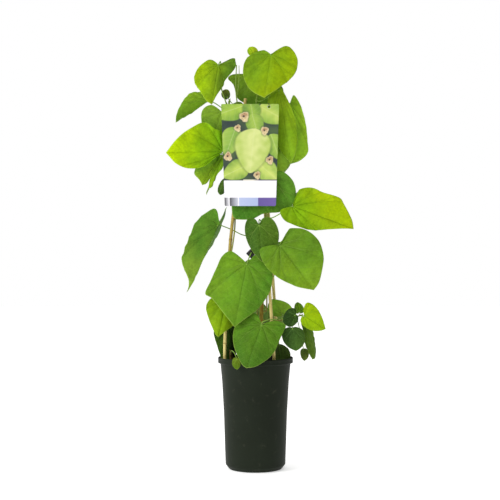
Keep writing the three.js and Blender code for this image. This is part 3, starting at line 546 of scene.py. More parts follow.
def bambooMaterial():
    material, tree, shader = startMaterial("bamboo_straw")
    along = objectPattern(tree, (1, 1, 0.05))
    streak = noiseIn(tree, along, 900, 5, 0.65)
    fine = noiseIn(tree, along, 2600, 3, 0.6)
    stain = noiseIn(tree, objectPattern(tree, (1, 1, 0.35)), 55, 5, 0.6)
    straw = blendColour(tree, ramp(tree, streak, 0.3, 0.7), "#b39a4c", "#ecdc94")
    olive = blendColour(tree, ramp(tree, streak, 0.3, 0.7), "#85702b", "#bca653")
    place = partsOf(tree, objectPattern(tree))
    # Higher up, most of all on the left cane, the straw turns a darker olive: partly the cane's older colour
    # and partly painted shade under the leaves
    higher = ramp(tree, place[2], 0.3, 0.44)
    olderAndShaded = calc(tree, "MULTIPLY", higher, ramp(tree, place[0], -0.03, -0.01, 1, 0.35))
    colour = blendColour(tree, olderAndShaded, straw, olive)
    colour = blendColour(tree, ramp(tree, fine, 0.62, 0.8, 0, 0.5), colour, "#7c6424")
    colour = blendColour(tree, ramp(tree, stain, 0.56, 0.78, 0, 0.55), colour, "#8a7a3a")
    colour = blendColour(tree, attribute(tree, "knuckle", "Fac"), colour, "#7a5a2a")
    dress(tree, shader, colour, ramp(tree, streak, 0.2, 0.8, 0.42, 0.62), 0.35)
    addBump(tree, shader, calc(tree, "ADD", streak, calc(tree, "MULTIPLY", fine, 0.6)), 0.5, 0.35)
    return material


def knuckleHeights(bottom, top, first):
    heights = []
    height, spacing = bottom + first, knuckleLook["spacing"]
    while height < top - knuckleLook["belowTop"]:
        heights.append(height)
        height += spacing
        spacing += knuckleLook["longerBy"]
    return heights


def knuckleForm(offset):  # radius share and darkness at a distance from the knuckle, in mm
    swell = 0.14 * bell(offset, 3.2) + 0.04 * bell(offset - 2.2, 0.7)
    groove = 0.06 * bell(offset - 0.6, 0.5)
    return 1 + swell - groove, bell(offset - 0.6, 0.8)


def caneHeights(bottom, top, knuckles):  # where the cane has a ring of points: close together at knuckles
    heights = set(range(int(bottom) + 8, int(top) - 4, 12))
    for height in knuckles:
        heights.update(height + step for step in knuckleLook["steps"])
    return [bottom + 0.01, *sorted(h for h in heights if bottom + 2 < h < top - 1), top - 0.01]


bamboo = bambooMaterial()
for name, path in canePaths.items():
    bottom, top = path.point(0).z, path.point(1).z
    knuckles = knuckleHeights(bottom, top, caneLook[name]["knuckle"])
    heights = caneHeights(bottom, top, knuckles)
    radii = []
    for height in heights:
        share = 1
        for knuckle in knuckles:
            if abs(height - knuckle) < knuckleLook["reach"]:
                share = knuckleForm(height - knuckle)[0]
        radii.append(caneRadius * share * (1 + 0.012 * noise.noise(Vector((height * 0.06, 1, 2)))))
    cane = tubes([([path.atHeight(height) for height in heights], radii)], 9)
    darkness = cane.data.attributes.new("knuckle", "FLOAT", "POINT")
    for point in cane.data.vertices:
        height = point.co.z / mm
        near = min((abs(height - knuckle), height - knuckle) for knuckle in knuckles)[1]
        darkness.data[point.index].value = knuckleLook["dark"] * knuckleForm(near)[1]
    editFaces(cane, lambda face: face.normal.z > 0.8 and face.center.z > (top - 2) * mm)
    bpy.ops.mesh.inset(thickness=caneCut["wall"] * mm)
    bpy.ops.mesh.extrude_region_move(TRANSFORM_OT_translate={"value": (0, 0, -caneCut["hollow"] * mm)})
    editDone()
    cane.data.materials.append(bamboo)
    smoothUpTo(cane, 45)
    standsFor(cane, name)
print("canes are cut")


# Stems: old wood and a pruned stub, and the green shoots that twine up the canes
woodPath = Path([(5, 2, 110), (8, 0, 205), *seenAll([(11, 280, -4), (13, 338, -6)])])
stubPath = Path([(-44, 4, 150), (-48, 1, 205), seen(-50, 236, -2)])
onWood = woodRadius + clearance
twineStep = 250  # the rise of one whole turn
budPlaces = 240  # how many places along a stem a bud can take
caneNear = 3 * caneRadius


def besideAxis(path, height, angle, reach):
    return path.atHeight(height) + Vector((reach * math.cos(angle), reach * math.sin(angle), 0))


def offWood(angle, *steps):  # points beside the old wood: height and distance past its bark
    return [besideAxis(woodPath, height, angle, onWood + past) for height, past in steps]


def twined(cane, low, high, startTurn):
    reach = caneRadius * knuckleSwell + stemRadius + 2.2 * clearance
    stretches = round(12 * (high - low) / twineStep)
    places = []
    for i in range(stretches + 1):
        height = low + (high - low) * i / stretches
        angle = 2 * math.pi * (startTurn + (height - low) / twineStep)
        places.append(besideAxis(canePaths[cane], height, angle, reach))
    return places


def support(points, cane=None, radius=stemRadius, level=False):  # buds on a level one count across
    return {"path": Path(points), "cane": cane, "radius": radius, "level": level}


supports = {
    "stem_left": support([
        *offWood(math.pi, (284, 0), (284, 4), (292, 5), (318, 4)),
        *seenAll([(-6, 350, -8), (-30, 372, -6), (-42, 386, -15)]),
        *twined("cane_left", 402, 640, -0.27),
        *seenAll([(-36, 668, -14), (-35, 706, -8), (-36, 724, -12), (-39, 752, -10), (-39, 780, -6),
                  (-38, 806, -4)])], "cane_left"),
    "stem_middle": support([
        *offWood(0, (314, 0), (314, 4)),
        *seenAll([(23, 345, -12), (26, 375, -22)]),
        *twined("cane_middle", 402, 700, 0.36),
        *seenAll([(1.5, 728, -13), (4, 752, -6), (4, 778, -1), (-1, 814, -2)])], "cane_middle"),
    "stem_back": support([
        *offWood(math.pi / 2, (322, 0), (322, 4)),
        *seenAll([(20, 352, 12), (25, 378, 22)]),
        *twined("cane_back", 404, 640, 0.31),
        *seenAll([(23, 668, 15), (24, 696, 10), (27, 722, 6)])], "cane_back"),
    "side_shoot": support([
        *offWood(0, (296, 0), (296, 5)),
        *seenAll([(27, 296, -12), (52, 296, -28), (74, 300, -38), (92, 306, -44)])], level=True),
    "old_wood": support(woodPath.points, radius=woodRadius),
    "pruned_stub": support(stubPath.points, radius=stubRadius),
}


def budOn(stem, wanted, target):  # where a leaf stalk leaves its stem, clear of the cane
    best = None
    for i in range(2, budPlaces):
        share = i / budPlaces
        centre = stem["path"].point(share)
        run = stem["path"].tangent(share)
        out = target - centre
        out = (out - run * out.dot(run)).normalized()
        free = 1
        if stem["cane"]:
            away = centre - canePaths[stem["cane"]].atHeight(centre.z)
            if away.length < caneNear:
                free = away.normalized().dot(out)
        miss = abs((centre.x if stem["level"] else centre.z) - wanted)
        if free > 0.3 and (best is None or miss < best[0]):
            best = (miss, centre, out, share)
    return best[1:]


# Leaves: heart-shaped blades, each grown with its own stalk
bladeLook = {
    # a plain margin from the notch to the tip, as shares of the length and of the half width
    "margin": [
        (-0.78, 0.2), (-1, 0.47), (-0.72, 0.76), (0.03, 0.95),
        (0.25, 1), (0.5, 0.88), (0.74, 0.58), (0.9, 0.26)],
    "widest": 0.25, "largeFrom": 70, "thickness": 0.45,
    "large": {"turns": 100, "rings": 28, "stalk": 1.2, "ribSteps": 18, "rib": 0.62},
    "small": {"turns": 56, "rings": 15, "stalk": 0.9, "ribSteps": 10, "rib": 0.42},
    # main veins: where each meets the margin as a turn from the tip, its drift towards the notch,
    # the share of the blade where it starts
    "veins": [
        (0, 0, 0), (0.3, 0.1, 0), (0.5, 0.1, 0), (0.72, 0.06, 0), (0.4, -0.067, 0.4), (0.62, -0.118, 0.45)],
    "veinReach": 1.5, "furrow": 1.0, "quilt": 1.7, "ripple": 1.5,
    "stalkSteps": 34,
}
leafRows = []


# A leaf's form is its cup, droop, wave, number of waves and their phase. Its greens are the two that
# its upper side runs between and the way that they run in degrees: its own green with painted light
# and shade running across it. A side lists the margin's points in hundredths of the length and of the
# half width, or else lobes says how far the plain margin reaches behind the notch. Relief scales the
# quilting, and via leads the stalk from the stem
def addLeaf(name, tone, stem, bud, notch, tip, left, right, form, greens,
            leftSide=(), rightSide=(), lobes=(), relief=1, via=()):
    notch = seen(*notch)
    axis = seen(*tip) - notch
    spine = notch + axis * bladeLook["widest"]
    toLeft, toRight = seen(*left) - spine, seen(*right) - spine
    margins = [[(a / 100, out / 100) for a, out in zip(side[::2], side[1::2])]
               for side in (leftSide, rightSide)]
    if lobes:
        margins = [[(a * lobe if a < 0 else a, out) for a, out in bladeLook["margin"]] for lobe in lobes]
    leafRows.append({
        "name": name, "tone": tone, "stem": stem, "bud": bud, "greens": greens, "relief": relief,
        "via": seenAll(via), "margins": margins, "notch": notch, "axis": axis, "length": axis.length,
        "toLeft": toLeft, "toRight": toRight, "face": axis.cross(toRight - toLeft).normalized(),
        "size": bladeLook["large" if axis.length > bladeLook["largeFrom"] else "small"],
        **dict(zip(("cup", "droop", "wave", "waves", "phase"), form))})


# The stem and the height of the bud on it (its place across on the side shoot), then across, up and
# depth of the notch, the tip and the widest points at left and right
addLeaf("leaf_crown_right", "bright", "stem_middle", 786, (31, 827, -20), (17, 742, -46), (-25, 798, -14),
    (85, 806, -32), (-5, -5, 2.5, 3, 0.2), ("#6b8d12", "#8ba508", -40),
    leftSide=(-14, 33, -10, 77, 2, 97, 25, 101, 46, 92, 68, 70, 86, 39),
    rightSide=(-15, 33, -17, 62, 6, 92, 31, 96, 51, 84, 71, 58, 87, 31))
addLeaf("leaf_crown_bud", "bright", "stem_middle", 808, (0, 824, 0), (-12, 842, -4), (3, 838, -2),
    (-15, 829, 0), (-1, -1, 0.4, 2, 0), ("#8eae12", "#a8ba1f", 0), lobes=(0.2, 0.2))
addLeaf("leaf_crown_left", "bright", "stem_left", 696, (-74, 806, -12), (-87, 727, -34), (-123, 778, -26),
    (-46, 796, -2), (-3, -4, 2.5, 3, 0.6), ("#95b309", "#658b25", 0),
    via=[(-44, 708, 5), (-59, 732, 4), (-68, 760, 4), (-70, 798, 6), (-70, 813, 0)],
    leftSide=(-17, 36, -14, 66, 0, 92, 19, 100, 38, 88, 56, 66, 86, 31),
    rightSide=(-3, 31, -7, 93, 2, 110, 21, 117, 45, 64, 58, 58, 79, 22))
addLeaf("leaf_upper_left", "mid", "stem_left", 700, (-95, 734, 4), (-161, 694, -6), (-129, 750, 22),
    (-117, 721, -8), (-3, -6, 1.5, 3, 0.3), ("#537c10", "#709316", 90),
    via=[(-52, 708, 2), (-70, 722, 4), (-84, 731, 7)],
    leftSide=(-7, 46, 5, 82, 23, 104, 38, 104, 57, 90, 68, 76, 88, 36),
    rightSide=(-12, 20, -15, 55, 3, 95, 25, 100, 50, 88, 74, 58, 90, 26))
addLeaf("leaf_behind_card_left", "deep", "stem_left", 664, (-67, 712, -18), (-83, 668, -14), (-109, 702, -15),
    (-45, 696, -18), (-3, -3, 1, 3, 0), ("#5f8723", "#759a27", 60),
    leftSide=(-22, 41, -31, 73, -18, 100, 7, 106, 43, 91, 65, 75, 85, 43),
    rightSide=(-14, 37, -7, 68, 13, 93, 38, 102, 66, 91, 79, 71, 89, 51))
addLeaf("leaf_wide_left", "bright", "stem_left", 630, (-65, 633, -26), (-178, 631, -62), (-101, 691, -34),
    (-107, 602, -38), (-4, -8, 3, 3, 0.4), ("#b2d105", "#70a211", 0),
    leftSide=(-10, 29, -5, 65, 9, 78, 25, 102, 49, 84, 69, 60, 86, 31),
    rightSide=(13, 62, 18, 85, 22, 97, 34, 107, 51, 102, 69, 79, 83, 50))
addLeaf("leaf_under_wide_left", "deep", "stem_left", 616, (-69, 626, 8), (-106, 566, -2), (-118, 604, 0),
    (-65, 604, 10), (-3, -4, 1.5, 3, 0.8), ("#5b8221", "#94b523", -60),
    leftSide=(-12, 41, -10, 75, 2, 93, 13, 102, 36, 96, 55, 81, 78, 37),
    rightSide=(2, 54, 17, 60, 33, 45, 47, 39, 60, 38, 73, 41, 90, 36))
addLeaf("leaf_edge_on_left", "mid", "stem_left", 590, (-65, 622, -20), (-102, 549, -30), (-83, 606, -8),
    (-65, 598, -38), (-3, -6, 1.5, 3, 0.1), ("#5f870a", "#76960c", -90),
    leftSide=(-10, 35, 5, 80, 25, 100, 45, 85, 62, 60, 80, 40, 92, 20),
    rightSide=(6, 70, 21, 79, 47, 36, 45, 26, 63, 33, 80, 37, 86, 5))
addLeaf("leaf_small_left", "deep", "stem_left", 566, (-60, 576, -16), (-70, 546, -22), (-74, 562, -20),
    (-56, 560, -14), (-2, -1, 0.5, 2, 0.5), ("#46682b", "#57792c", 90), lobes=(0.2, 0.2))
addLeaf("leaf_dark_crown", "deep", "stem_middle", 764, (-3, 786, 10), (13, 720, 24), (-45, 770, 12),
    (55, 750, 14), (-4, 2, 2, 3, 0.5), ("#5e8623", "#779923", 90),
    leftSide=(-3, 32, -1, 91, 12, 118, 32, 100, 69, 99, 85, 75, 96, 41),
    rightSide=(-11, 35, -13, 65, -7, 88, 10, 104, 35, 97, 63, 69, 84, 36))
addLeaf("leaf_curled_bud", "shade", "stem_left", 726, (-56, 740, -10), (-64, 756, -12), (-52, 754, -12),
    (-67, 744, -8), (3, 2, 0.4, 2, 0), ("#384710", "#4f5713", 90), lobes=(0.2, 0.2))
addLeaf("leaf_long_right", "mid", "stem_middle", 706, (47, 754, -8), (71, 610, -36), (25, 712, -10),
    (81, 696, -26), (-4, -4, 2.5, 3, 0.1), ("#729715", "#81a217", 90), relief=0.35,
    leftSide=(-8, 36, 5, 86, 26, 100, 41, 97, 55, 91, 71, 75, 86, 47),
    rightSide=(-7, 26, 6, 68, 16, 84, 28, 92, 44, 88, 62, 75, 81, 46))
addLeaf("leaf_outer_right", "mid", "stem_back", 714, (69, 728, 20), (69, 609, 2), (43, 680, 26),
    (101, 678, 0), (-4, -6, 2, 3, 0.7), ("#7cb231", "#a5d430", 0), relief=0.6,
    leftSide=(-13, 53, -9, 105, 10, 119, 22, 117, 39, 103, 59, 77, 84, 39),
    rightSide=(-19, 22, -11, 62, 8, 90, 23, 100, 43, 103, 63, 102, 85, 56))
addLeaf("leaf_behind_card_right", "deep", "stem_middle", 650, (52, 655, -8), (35, 580, -22), (28, 628, -12),
    (77, 628, -10), (-3, -3, 1.5, 3, 0.2), ("#7ca632", "#98bf33", -90), lobes=(0.15, 0.15))
addLeaf("leaf_under_card", "deep", "stem_middle", 566, (29, 580, -38), (-39, 497, -44), (-38, 564, -38),
    (73, 530, -42), (-2, -1, 1, 3, 0.4), ("#45761e", "#568422", 20),
    leftSide=(-6, 42, -4, 75, 7, 96, 22, 103, 40, 94, 63, 68, 91, 26),
    rightSide=(-21, 10, -15, 57, 7, 93, 33, 105, 51, 88, 66, 55, 87, 36))
addLeaf("leaf_wide_right", "bright", "stem_middle", 500, (74, 523, -52), (196, 479, -74), (95, 479, -60),
    (111, 561, -48), (-3, -8, 4, 3, 0.9), ("#769e0b", "#a4bc05", 25),
    via=[(32, 500, -40), (48, 508, -46), (62, 518, -48)],
    leftSide=(-16, 46, -7, 91, 12, 98, 31, 94, 46, 80, 59, 61, 87, 18),
    rightSide=(4, 56, 9, 82, 27, 101, 45, 98, 71, 103, 80, 84, 95, 36))
addLeaf("leaf_small_heart", "deep", "stem_middle", 488, (7, 486, -50), (13, 412, -58), (-21, 470, -48),
    (47, 466, -52), (-3, -2, 1.5, 3, 0.3), ("#3d6019", "#4f6f1c", 0), lobes=(0.18, 0.22), via=[(8, 497, -41)])
addLeaf("leaf_big_heart", "deep", "stem_middle", 446, (49, 446, -66), (116, 357, -90), (24, 400, -78),
    (125, 460, -80), (-6, -8, 2.5, 3, 0), ("#5a821b", "#71971c", -75),
    via=[(36, 450, -39), (49, 451, -43), (52, 453, -56)],
    leftSide=(-11, 49, -11, 82, 12, 100, 33, 98, 53, 85, 71, 61, 83, 42),
    rightSide=(-13, 39, -15, 57, 0, 87, 26, 98, 52, 86, 70, 66, 93, 27))
addLeaf("leaf_centre", "deep", "stem_middle", 436, (-17, 409, -47), (-42, 282, -66), (-93, 368, -52),
    (33, 376, -50), (-3, -4, 2.5, 3, 0.5), ("#67911d", "#517f1d", -15),
    via=[(4, 440, -36), (-6, 434, -39), (-11, 425, -42.5)],
    leftSide=(-23, 51, -18, 77, -1, 87, 21, 98, 39, 106, 49, 83, 79, 34),
    rightSide=(-15, 27, -9, 67, 13, 96, 38, 102, 56, 89, 73, 66, 86, 34))
addLeaf("leaf_lower_left", "bright", "stem_left", 368, (-59, 334, -28), (-74, 262, -40), (-98, 322, -34),
    (-39, 300, -30), (-4, -4, 2, 3, 0.6), ("#789c10", "#85a413", -90), via=[(-34, 362, -20), (-50, 348, -27)],
    leftSide=(-8, 34, -2, 82, 15, 101, 31, 99, 52, 77, 68, 57, 94, 20),
    rightSide=(-13, 48, -11, 100, -1, 117, 19, 117, 41, 100, 59, 73, 75, 42))
addLeaf("leaf_over_rim", "deep", "side_shoot", 58, (12, 287, -60), (-18, 199, -90), (-43, 260, -66),
    (51, 264, -68), (-4, 2, 2, 3, 0.2), ("#507a19", "#446d19", -90),
    via=[(52, 298, -38), (42, 297, -50), (27, 296, -55), (14, 292, -60)],
    leftSide=(-26, 36, -28, 75, -15, 106, 4, 114, 28, 103, 55, 75, 89, 27),
    rightSide=(-9, 53, -1, 101, 9, 104, 35, 98, 60, 93, 79, 74, 97, 36))
addLeaf("leaf_rim_bud", "mid", "pruned_stub", 228, (-38, 218, -71), (-37, 197, -76), (-47, 209, -71),
    (-30, 209, -74), (-1, -1, 0.5, 2, 0), ("#516b11", "#647918", 90), lobes=(0.2, 0.2),
    via=[(-49, 233, -30), (-46, 234, -52), (-41, 228, -66)])
# Painted shade: the left leaf in the pot's mouth runs from dark green to near black, the shade inside the rim
addLeaf("leaf_mouth_left", "shade", "old_wood", 262, (-55, 284, 8), (-59, 212, 2), (-82, 260, 4),
    (-37, 256, 10), (-3, 0, 1.5, 3, 0.3), ("#2e4f08", "#050a01", 0),
    leftSide=(-12, 45, -8, 93, 8, 109, 30, 94, 46, 78, 66, 59, 88, 36),
    rightSide=(-11, 45, -2, 90, 14, 114, 33, 121, 44, 118, 66, 95, 84, 56))
addLeaf("leaf_mouth_right", "shade", "old_wood", 240, (47, 248, 4), (51, 212, -4), (33, 236, 2), (69, 234, 4),
    (-2, 0, 1, 2, 0), ("#33431c", "#42551f", 0),
    leftSide=(-10, 38, -1, 84, 20, 108, 30, 110, 53, 102, 78, 72, 85, 60),
    rightSide=(-1, 38, 8, 78, 13, 87, 35, 102, 62, 96, 72, 82, 90, 48))
addLeaf("leaf_behind_cane", "deep", "side_shoot", 50, (54, 308, -20), (34, 338, -10), (70, 324, -20),
    (26, 314, -10), (-3, -1, 1, 2, 0.2), ("#7caf31", "#95c43a", 0), lobes=(0.15, 0.15))
addLeaf("leaf_crumpled", "shade", "side_shoot", 83, (80, 306, -54), (54, 292, -58), (66, 318, -54),
    (75, 284, -60), (-3, -1, 2, 4, 0.3), ("#213a16", "#314c19", 0), lobes=(0.2, 0.2), relief=2.6)
addLeaf("leaf_ruffled", "shade", "side_shoot", 87, (88, 312, -36), (84, 332, -30), (96, 320, -36),
    (77, 318, -30), (-2, -1, 1, 3, 0.1), ("#46690f", "#5e8612", 0), lobes=(0.2, 0.2), relief=2.6)
addLeaf("leaf_bright_side", "bright", "side_shoot", 90, (98, 304, -60), (140, 278, -70), (103, 279, -64),
    (115, 327, -60), (-3, -3, 1, 3, 0.4), ("#81a308", "#97b407", 90), lobes=(0.12, 0.1))
addLeaf("leaf_round_low", "shade", "side_shoot", 74, (74, 280, -54), (81, 234, -54), (53, 260, -50),
    (99, 262, -56), (-4, -1, 0.8, 3, 0), ("#334e1d", "#3e5b20", 0), lobes=(0.1, 0.1))
addLeaf("leaf_narrow_hanging", "shade", "side_shoot", 91, (97, 292, -34), (114, 217, -28), (97, 274, -42),
    (116, 274, -14), (-3, -2, 1, 3, 0.6), ("#425f16", "#56731d", 0),
    leftSide=(-7, 64, 7, 106, 28, 106, 43, 99, 59, 94, 72, 90, 91, 59),
    rightSide=(-9, 52, 5, 94, 24, 106, 38, 111, 54, 114, 71, 102, 95, 51))
addLeaf("leaf_small_hanging", "shade", "side_shoot", 79, (96, 238, -24), (98, 214, -26), (90, 228, -26),
    (107, 229, -22), (-1, -1, 0.5, 2, 0), ("#4d5e23", "#62712a", 0), lobes=(0.1, 0.1),
    via=[(84, 296, -24), (90, 270, -20), (94, 248, -21)])
addLeaf("leaf_hanging_left", "mid", "stem_back", 458, (-75, 486, -14), (-134, 350, -30), (-139, 444, -34),
    (-82, 450, 22), (-5, -8, 4, 4, 0.3), ("#527f23", "#7d9d2f", -90),
    via=[(-8, 462, 16), (-28, 467, 8), (-44, 475, 2), (-58, 481, -4)],
    leftSide=(-27, 47, -20, 74, -5, 95, 12, 101, 31, 97, 53, 73, 83, 11),
    rightSide=(-20, 30, -27, 70, -5, 95, 20, 100, 42, 85, 60, 35, 76, 6))
addLeaf("leaf_back_top", "mid", "stem_back", 690, (-20, 716, 36), (-34, 636, 56), (16, 690, 44),
    (-60, 696, 28), (-4, -4, 2, 3, 0.1), ("#63901e", "#85a920", 90), lobes=(0.16, 0.2))
addLeaf("leaf_back_left", "deep", "stem_left", 604, (-30, 628, 20), (-56, 548, 36), (8, 600, 28),
    (-56, 604, 20), (-4, -6, 2, 3, 0.7), ("#598423", "#78a028", 0), lobes=(0.2, 0.16))
addLeaf("leaf_back_right", "mid", "stem_back", 640, (28, 664, 46), (52, 586, 76), (74, 644, 52), (4, 634, 64),
    (-5, -5, 2.5, 3, 0.4), ("#65911c", "#81a520", 0), lobes=(0.18, 0.18))
addLeaf("leaf_back_middle", "deep", "stem_back", 560, (12, 570, 52), (4, 506, 66), (48, 550, 52),
    (-26, 546, 56), (-4, -4, 2, 3, 0), ("#517f22", "#689128", 90), lobes=(0.2, 0.2))
addLeaf("leaf_back_far_right", "mid", "stem_back", 520, (84, 524, 6), (152, 488, 30), (112, 546, 12),
    (96, 488, 18), (-4, -6, 2, 3, 0.5), ("#6a931c", "#8bac1e", 0), lobes=(0.16, 0.16))
addLeaf("leaf_back_heart", "deep", "stem_back", 440, (62, 444, 40), (84, 366, 66), (112, 424, 42),
    (30, 406, 50), (-5, -6, 2, 3, 0.2), ("#568223", "#729a29", -60), lobes=(0.2, 0.18))
addLeaf("leaf_back_centre", "mid", "stem_left", 422, (-30, 404, 18), (-54, 312, 44), (14, 376, 34),
    (-76, 376, 16), (-4, -6, 2.5, 3, 0.6), ("#5d871e", "#769b22", 30), lobes=(0.16, 0.2))
addLeaf("leaf_back_low_left", "shade", "old_wood", 276, (-14, 290, 29), (-34, 228, 43), (20, 270, 37),
    (-52, 270, 28), (-4, -2, 1.5, 3, 0.3), ("#344d15", "#46611a", 0), lobes=(0.16, 0.16))
addLeaf("leaf_back_low_right", "deep", "old_wood", 306, (24, 318, 44), (30, 244, 68), (62, 296, 46),
    (-6, 294, 52), (-4, -6, 2, 3, 0.8), ("#567f23", "#6e9229", 0), lobes=(0.2, 0.2))


def splineThrough(points, share):
    last = len(points) - 1
    place = min(max(share, 0), 1) * last
    i = min(int(place), last - 1)
    w = place - i
    result = []
    for a, b, c, d in zip(points[max(i - 1, 0)], points[i], points[i + 1], points[min(i + 2, last)]):
        v0, v1 = (c - a) / 2, (d - b) / 2
        cube, square = 2 * b - 2 * c + v0 + v1, -3 * b + 3 * c - 2 * v0 - v1
        result.append(cube * w ** 3 + square * w * w + v0 * w + b)
    return result


def veinDistance(turn, share, length):  # roughly, in mm, to the nearest main vein
    nearest = 99
    for end, drift, start in bladeLook["veins"]:
        if share >= start:
            nearest = min(nearest, abs(abs(turn) - end - drift * (1 - share)))
    return nearest * share * length * bladeLook["veinReach"]


def bladePoint(leaf, turn, share):  # the place in space, and the place on the flattened blade
    sideIndex, side, sign = (0, leaf["toLeft"], -1) if turn < 0 else (1, leaf["toRight"], 1)
    along, out = splineThrough([(0, 0), *leaf["margins"][sideIndex], (1, 0)], 1 - abs(turn))
    lift = (leaf["cup"] * (share * out) ** 2
            + leaf["droop"] * max(share * along, 0) ** 2
            + leaf["wave"] * share ** 2 * math.sin(math.pi * (leaf["waves"] * turn + leaf["phase"])))
    point = leaf["notch"] + leaf["axis"] * (share * along) + side * (share * out)
    gap = veinDistance(turn, share, leaf["length"])
    scale = min(leaf["length"] / 90, 1)
    relief = bladeLook["quilt"] * (1 - bell(gap, 7 * scale)) * smoothStep(0, 0.3, share)
    relief -= bladeLook["furrow"] * bell(gap, 1.3) * (1 - 0.7 * share)
    ripple = noise.noise(point * 0.09 + Vector((leaf["bud"], 0, 0))) * share
    ripple += 0.6 * noise.noise(point * 0.22 + Vector((0, leaf["bud"], 0))) * share ** 3
    relief = (relief + bladeLook["ripple"] * ripple) * scale * leaf["relief"]
    flat = Vector((share * along, share * out * side.length / leaf["length"] * sign, 0))
    return point + leaf["face"] * (lift + relief), flat


def greensWithPaintedLight(leaf, point):  # the upper side's green, with painted light and shade running across the leaf
    first, second, degrees = leaf["greens"]
    way = Vector((math.cos(math.radians(degrees)), 0, math.sin(math.radians(degrees))))
    spine = leaf["notch"] + leaf["axis"] * bladeLook["widest"]
    corners = [leaf["notch"], leaf["notch"] + leaf["axis"], spine + leaf["toLeft"], spine + leaf["toRight"]]
    reach = [corner.dot(way) for corner in corners]
    share = (point.dot(way) - min(reach)) / (max(reach) - min(reach))
    return mixedPaint(first, second, smoothStep(0, 1, share + 0.25 * noise.noise(point * 0.04)))


# Greens: the upper side and the paler underside, one pair for each tone of leaf
# Tones: bright is partly the young leaves' own paler green and partly painted light for leaves lit through;
# shade stands for dark leaves in painted shade. The darker vein paint of bright leaves is painted shade in
# their sunken veins
leafFinish = {
    "bright": {"veins": "#7aa61c", "veinShare": 0.4, "gloss": 0.42},
    "mid": {"veins": "#86ab3c", "veinShare": 0.3, "gloss": 0.42},
    "deep": {"veins": "#86a848", "veinShare": 0.27, "gloss": 0.4},
    "shade": {"veins": "#5f8340", "veinShare": 0.3, "gloss": 0.45},
}
undersideLook = {"green": "#93ad6c", "veins": "#b4c67a", "veinShare": 0.75, "rougher": 0.15}
# a paler margin: partly the edge's own paler green and partly a painted glow of light through the thin edge
marginPaintAndGlow = "#a9c05a"


def mainVeinGap(tree, turn, share, rest):  # how far the nearest main vein is, as a part of a turn
    nearest = None
    for end, drift, start in bladeLook["veins"]:
        gap = calc(tree, "SUBTRACT", turn, calc(tree, "MULTIPLY_ADD", rest, drift, end))
        gap = calc(tree, "ABSOLUTE", gap)
        if start:
            gap = calc(tree, "ADD", gap, calc(tree, "LESS_THAN", share, start))
        nearest = gap if nearest is None else calc(tree, "MINIMUM", nearest, gap)
    return nearest


def leafMaterial(tone, under):
    settings = leafFinish[tone]
    material, tree, shader = startMaterial("leaf_" + tone + ("_under" if under else "_upper"))
    along, aside, _ = partsOf(tree, attribute(tree, "flat", "Vector"))
    turn, share, length = partsOf(tree, attribute(tree, "rays", "Vector"))
    rest = calc(tree, "SUBTRACT", 1, share)
    nearest = mainVeinGap(tree, calc(tree, "ABSOLUTE", turn), share, rest)
    reach = calc(tree, "MULTIPLY", calc(tree, "MULTIPLY", share, length), bladeLook["veinReach"])
    gap = calc(tree, "MULTIPLY", nearest, reach)
    width = calc(tree, "MULTIPLY_ADD", rest, 0.55, 0.25)
    main = ramp(tree, calc(tree, "DIVIDE", gap, width), 0.35, 1.3, 1, 0)
    # side veins leave the midrib in curves, and a fine net fills what is between
    across = calc(tree, "ABSOLUTE", aside)
    curve = calc(tree, "MULTIPLY", calc(tree, "MULTIPLY", across, across), 0.35)
    rank = calc(tree, "ADD", calc(tree, "MULTIPLY_ADD", across, -0.72, along), curve)
    rank = calc(tree, "FRACT", calc(tree, "MULTIPLY", rank, 7))
    rank = calc(tree, "ABSOLUTE", calc(tree, "SUBTRACT", rank, 0.5))
    side = ramp(tree, rank, 0.012, 0.05, 1, 0)
    place = objectPattern(tree)
    cells = addNode(tree, "TexVoronoi", {"feature": "DISTANCE_TO_EDGE"}, {"Vector": place, "Scale": 230})
    net = ramp(tree, cells.outputs["Distance"], 0.02, 0.12, 1, 0)
    fine = noiseIn(tree, place, 420, 4, 0.6)
    creaseShade = calc(tree, "MULTIPLY", ramp(tree, gap, 0.4, 4.5, 1, 0), ramp(tree, share, 0.02, 0.2))
    # patches and specks make it lighter and darker, and painted shade darkens the creases beside the veins
    value = ramp(tree, noiseIn(tree, place, 26), 0.3, 0.7, 0.87, 1.11)
    value = calc(tree, "MULTIPLY_ADD", creaseShade, -0.1, value)
    value = calc(tree, "ADD", value, ramp(tree, noiseIn(tree, place, 190, 3, 0.6), 0.32, 0.68, -0.1, 0.1))
    hue = ramp(tree, noiseIn(tree, place, 17, 3), 0.3, 0.7, 0.506, 0.494)
    # the leaf's green, with painted light and shade across it
    green = attribute(tree, "greens", "Color")
    colour = addNode(tree, "HueSaturation", None, {"Color": green, "Value": value, "Hue": hue}).outputs[0]
    if under:
        colour = blendColour(tree, 0.5, colour, undersideLook["green"])
    colour = tint(tree, colour, settings["veins"], net, 0.1)
    colour = tint(tree, colour, settings["veins"], side, 0.16)
    main = calc(tree, "MULTIPLY", main, calc(tree, "MULTIPLY_ADD", share, -0.6, 1.25))
    veinPaint = undersideLook if under else settings
    colour = tint(tree, colour, veinPaint["veins"], main, veinPaint["veinShare"])
    # paler margin, partly painted glow of light through the edge
    colour = tint(tree, colour, marginPaintAndGlow, ramp(tree, share, 0.982, 0.998), 0.45)
    gloss = settings["gloss"] + (undersideLook["rougher"] if under else 0)
    dress(tree, shader, colour, calc(tree, "MULTIPLY_ADD", fine, 0.2, gloss), 0.05)
    raised = 1 if under else -1
    height = calc(tree, "MULTIPLY", main, raised)
    for pattern, strength in ((side, 0.55 * raised), (net, 0.22 * raised), (fine, 0.2)):
        height = calc(tree, "MULTIPLY_ADD", pattern, strength, height)
    addBump(tree, shader, height, 0.55, 0.5)
    return material


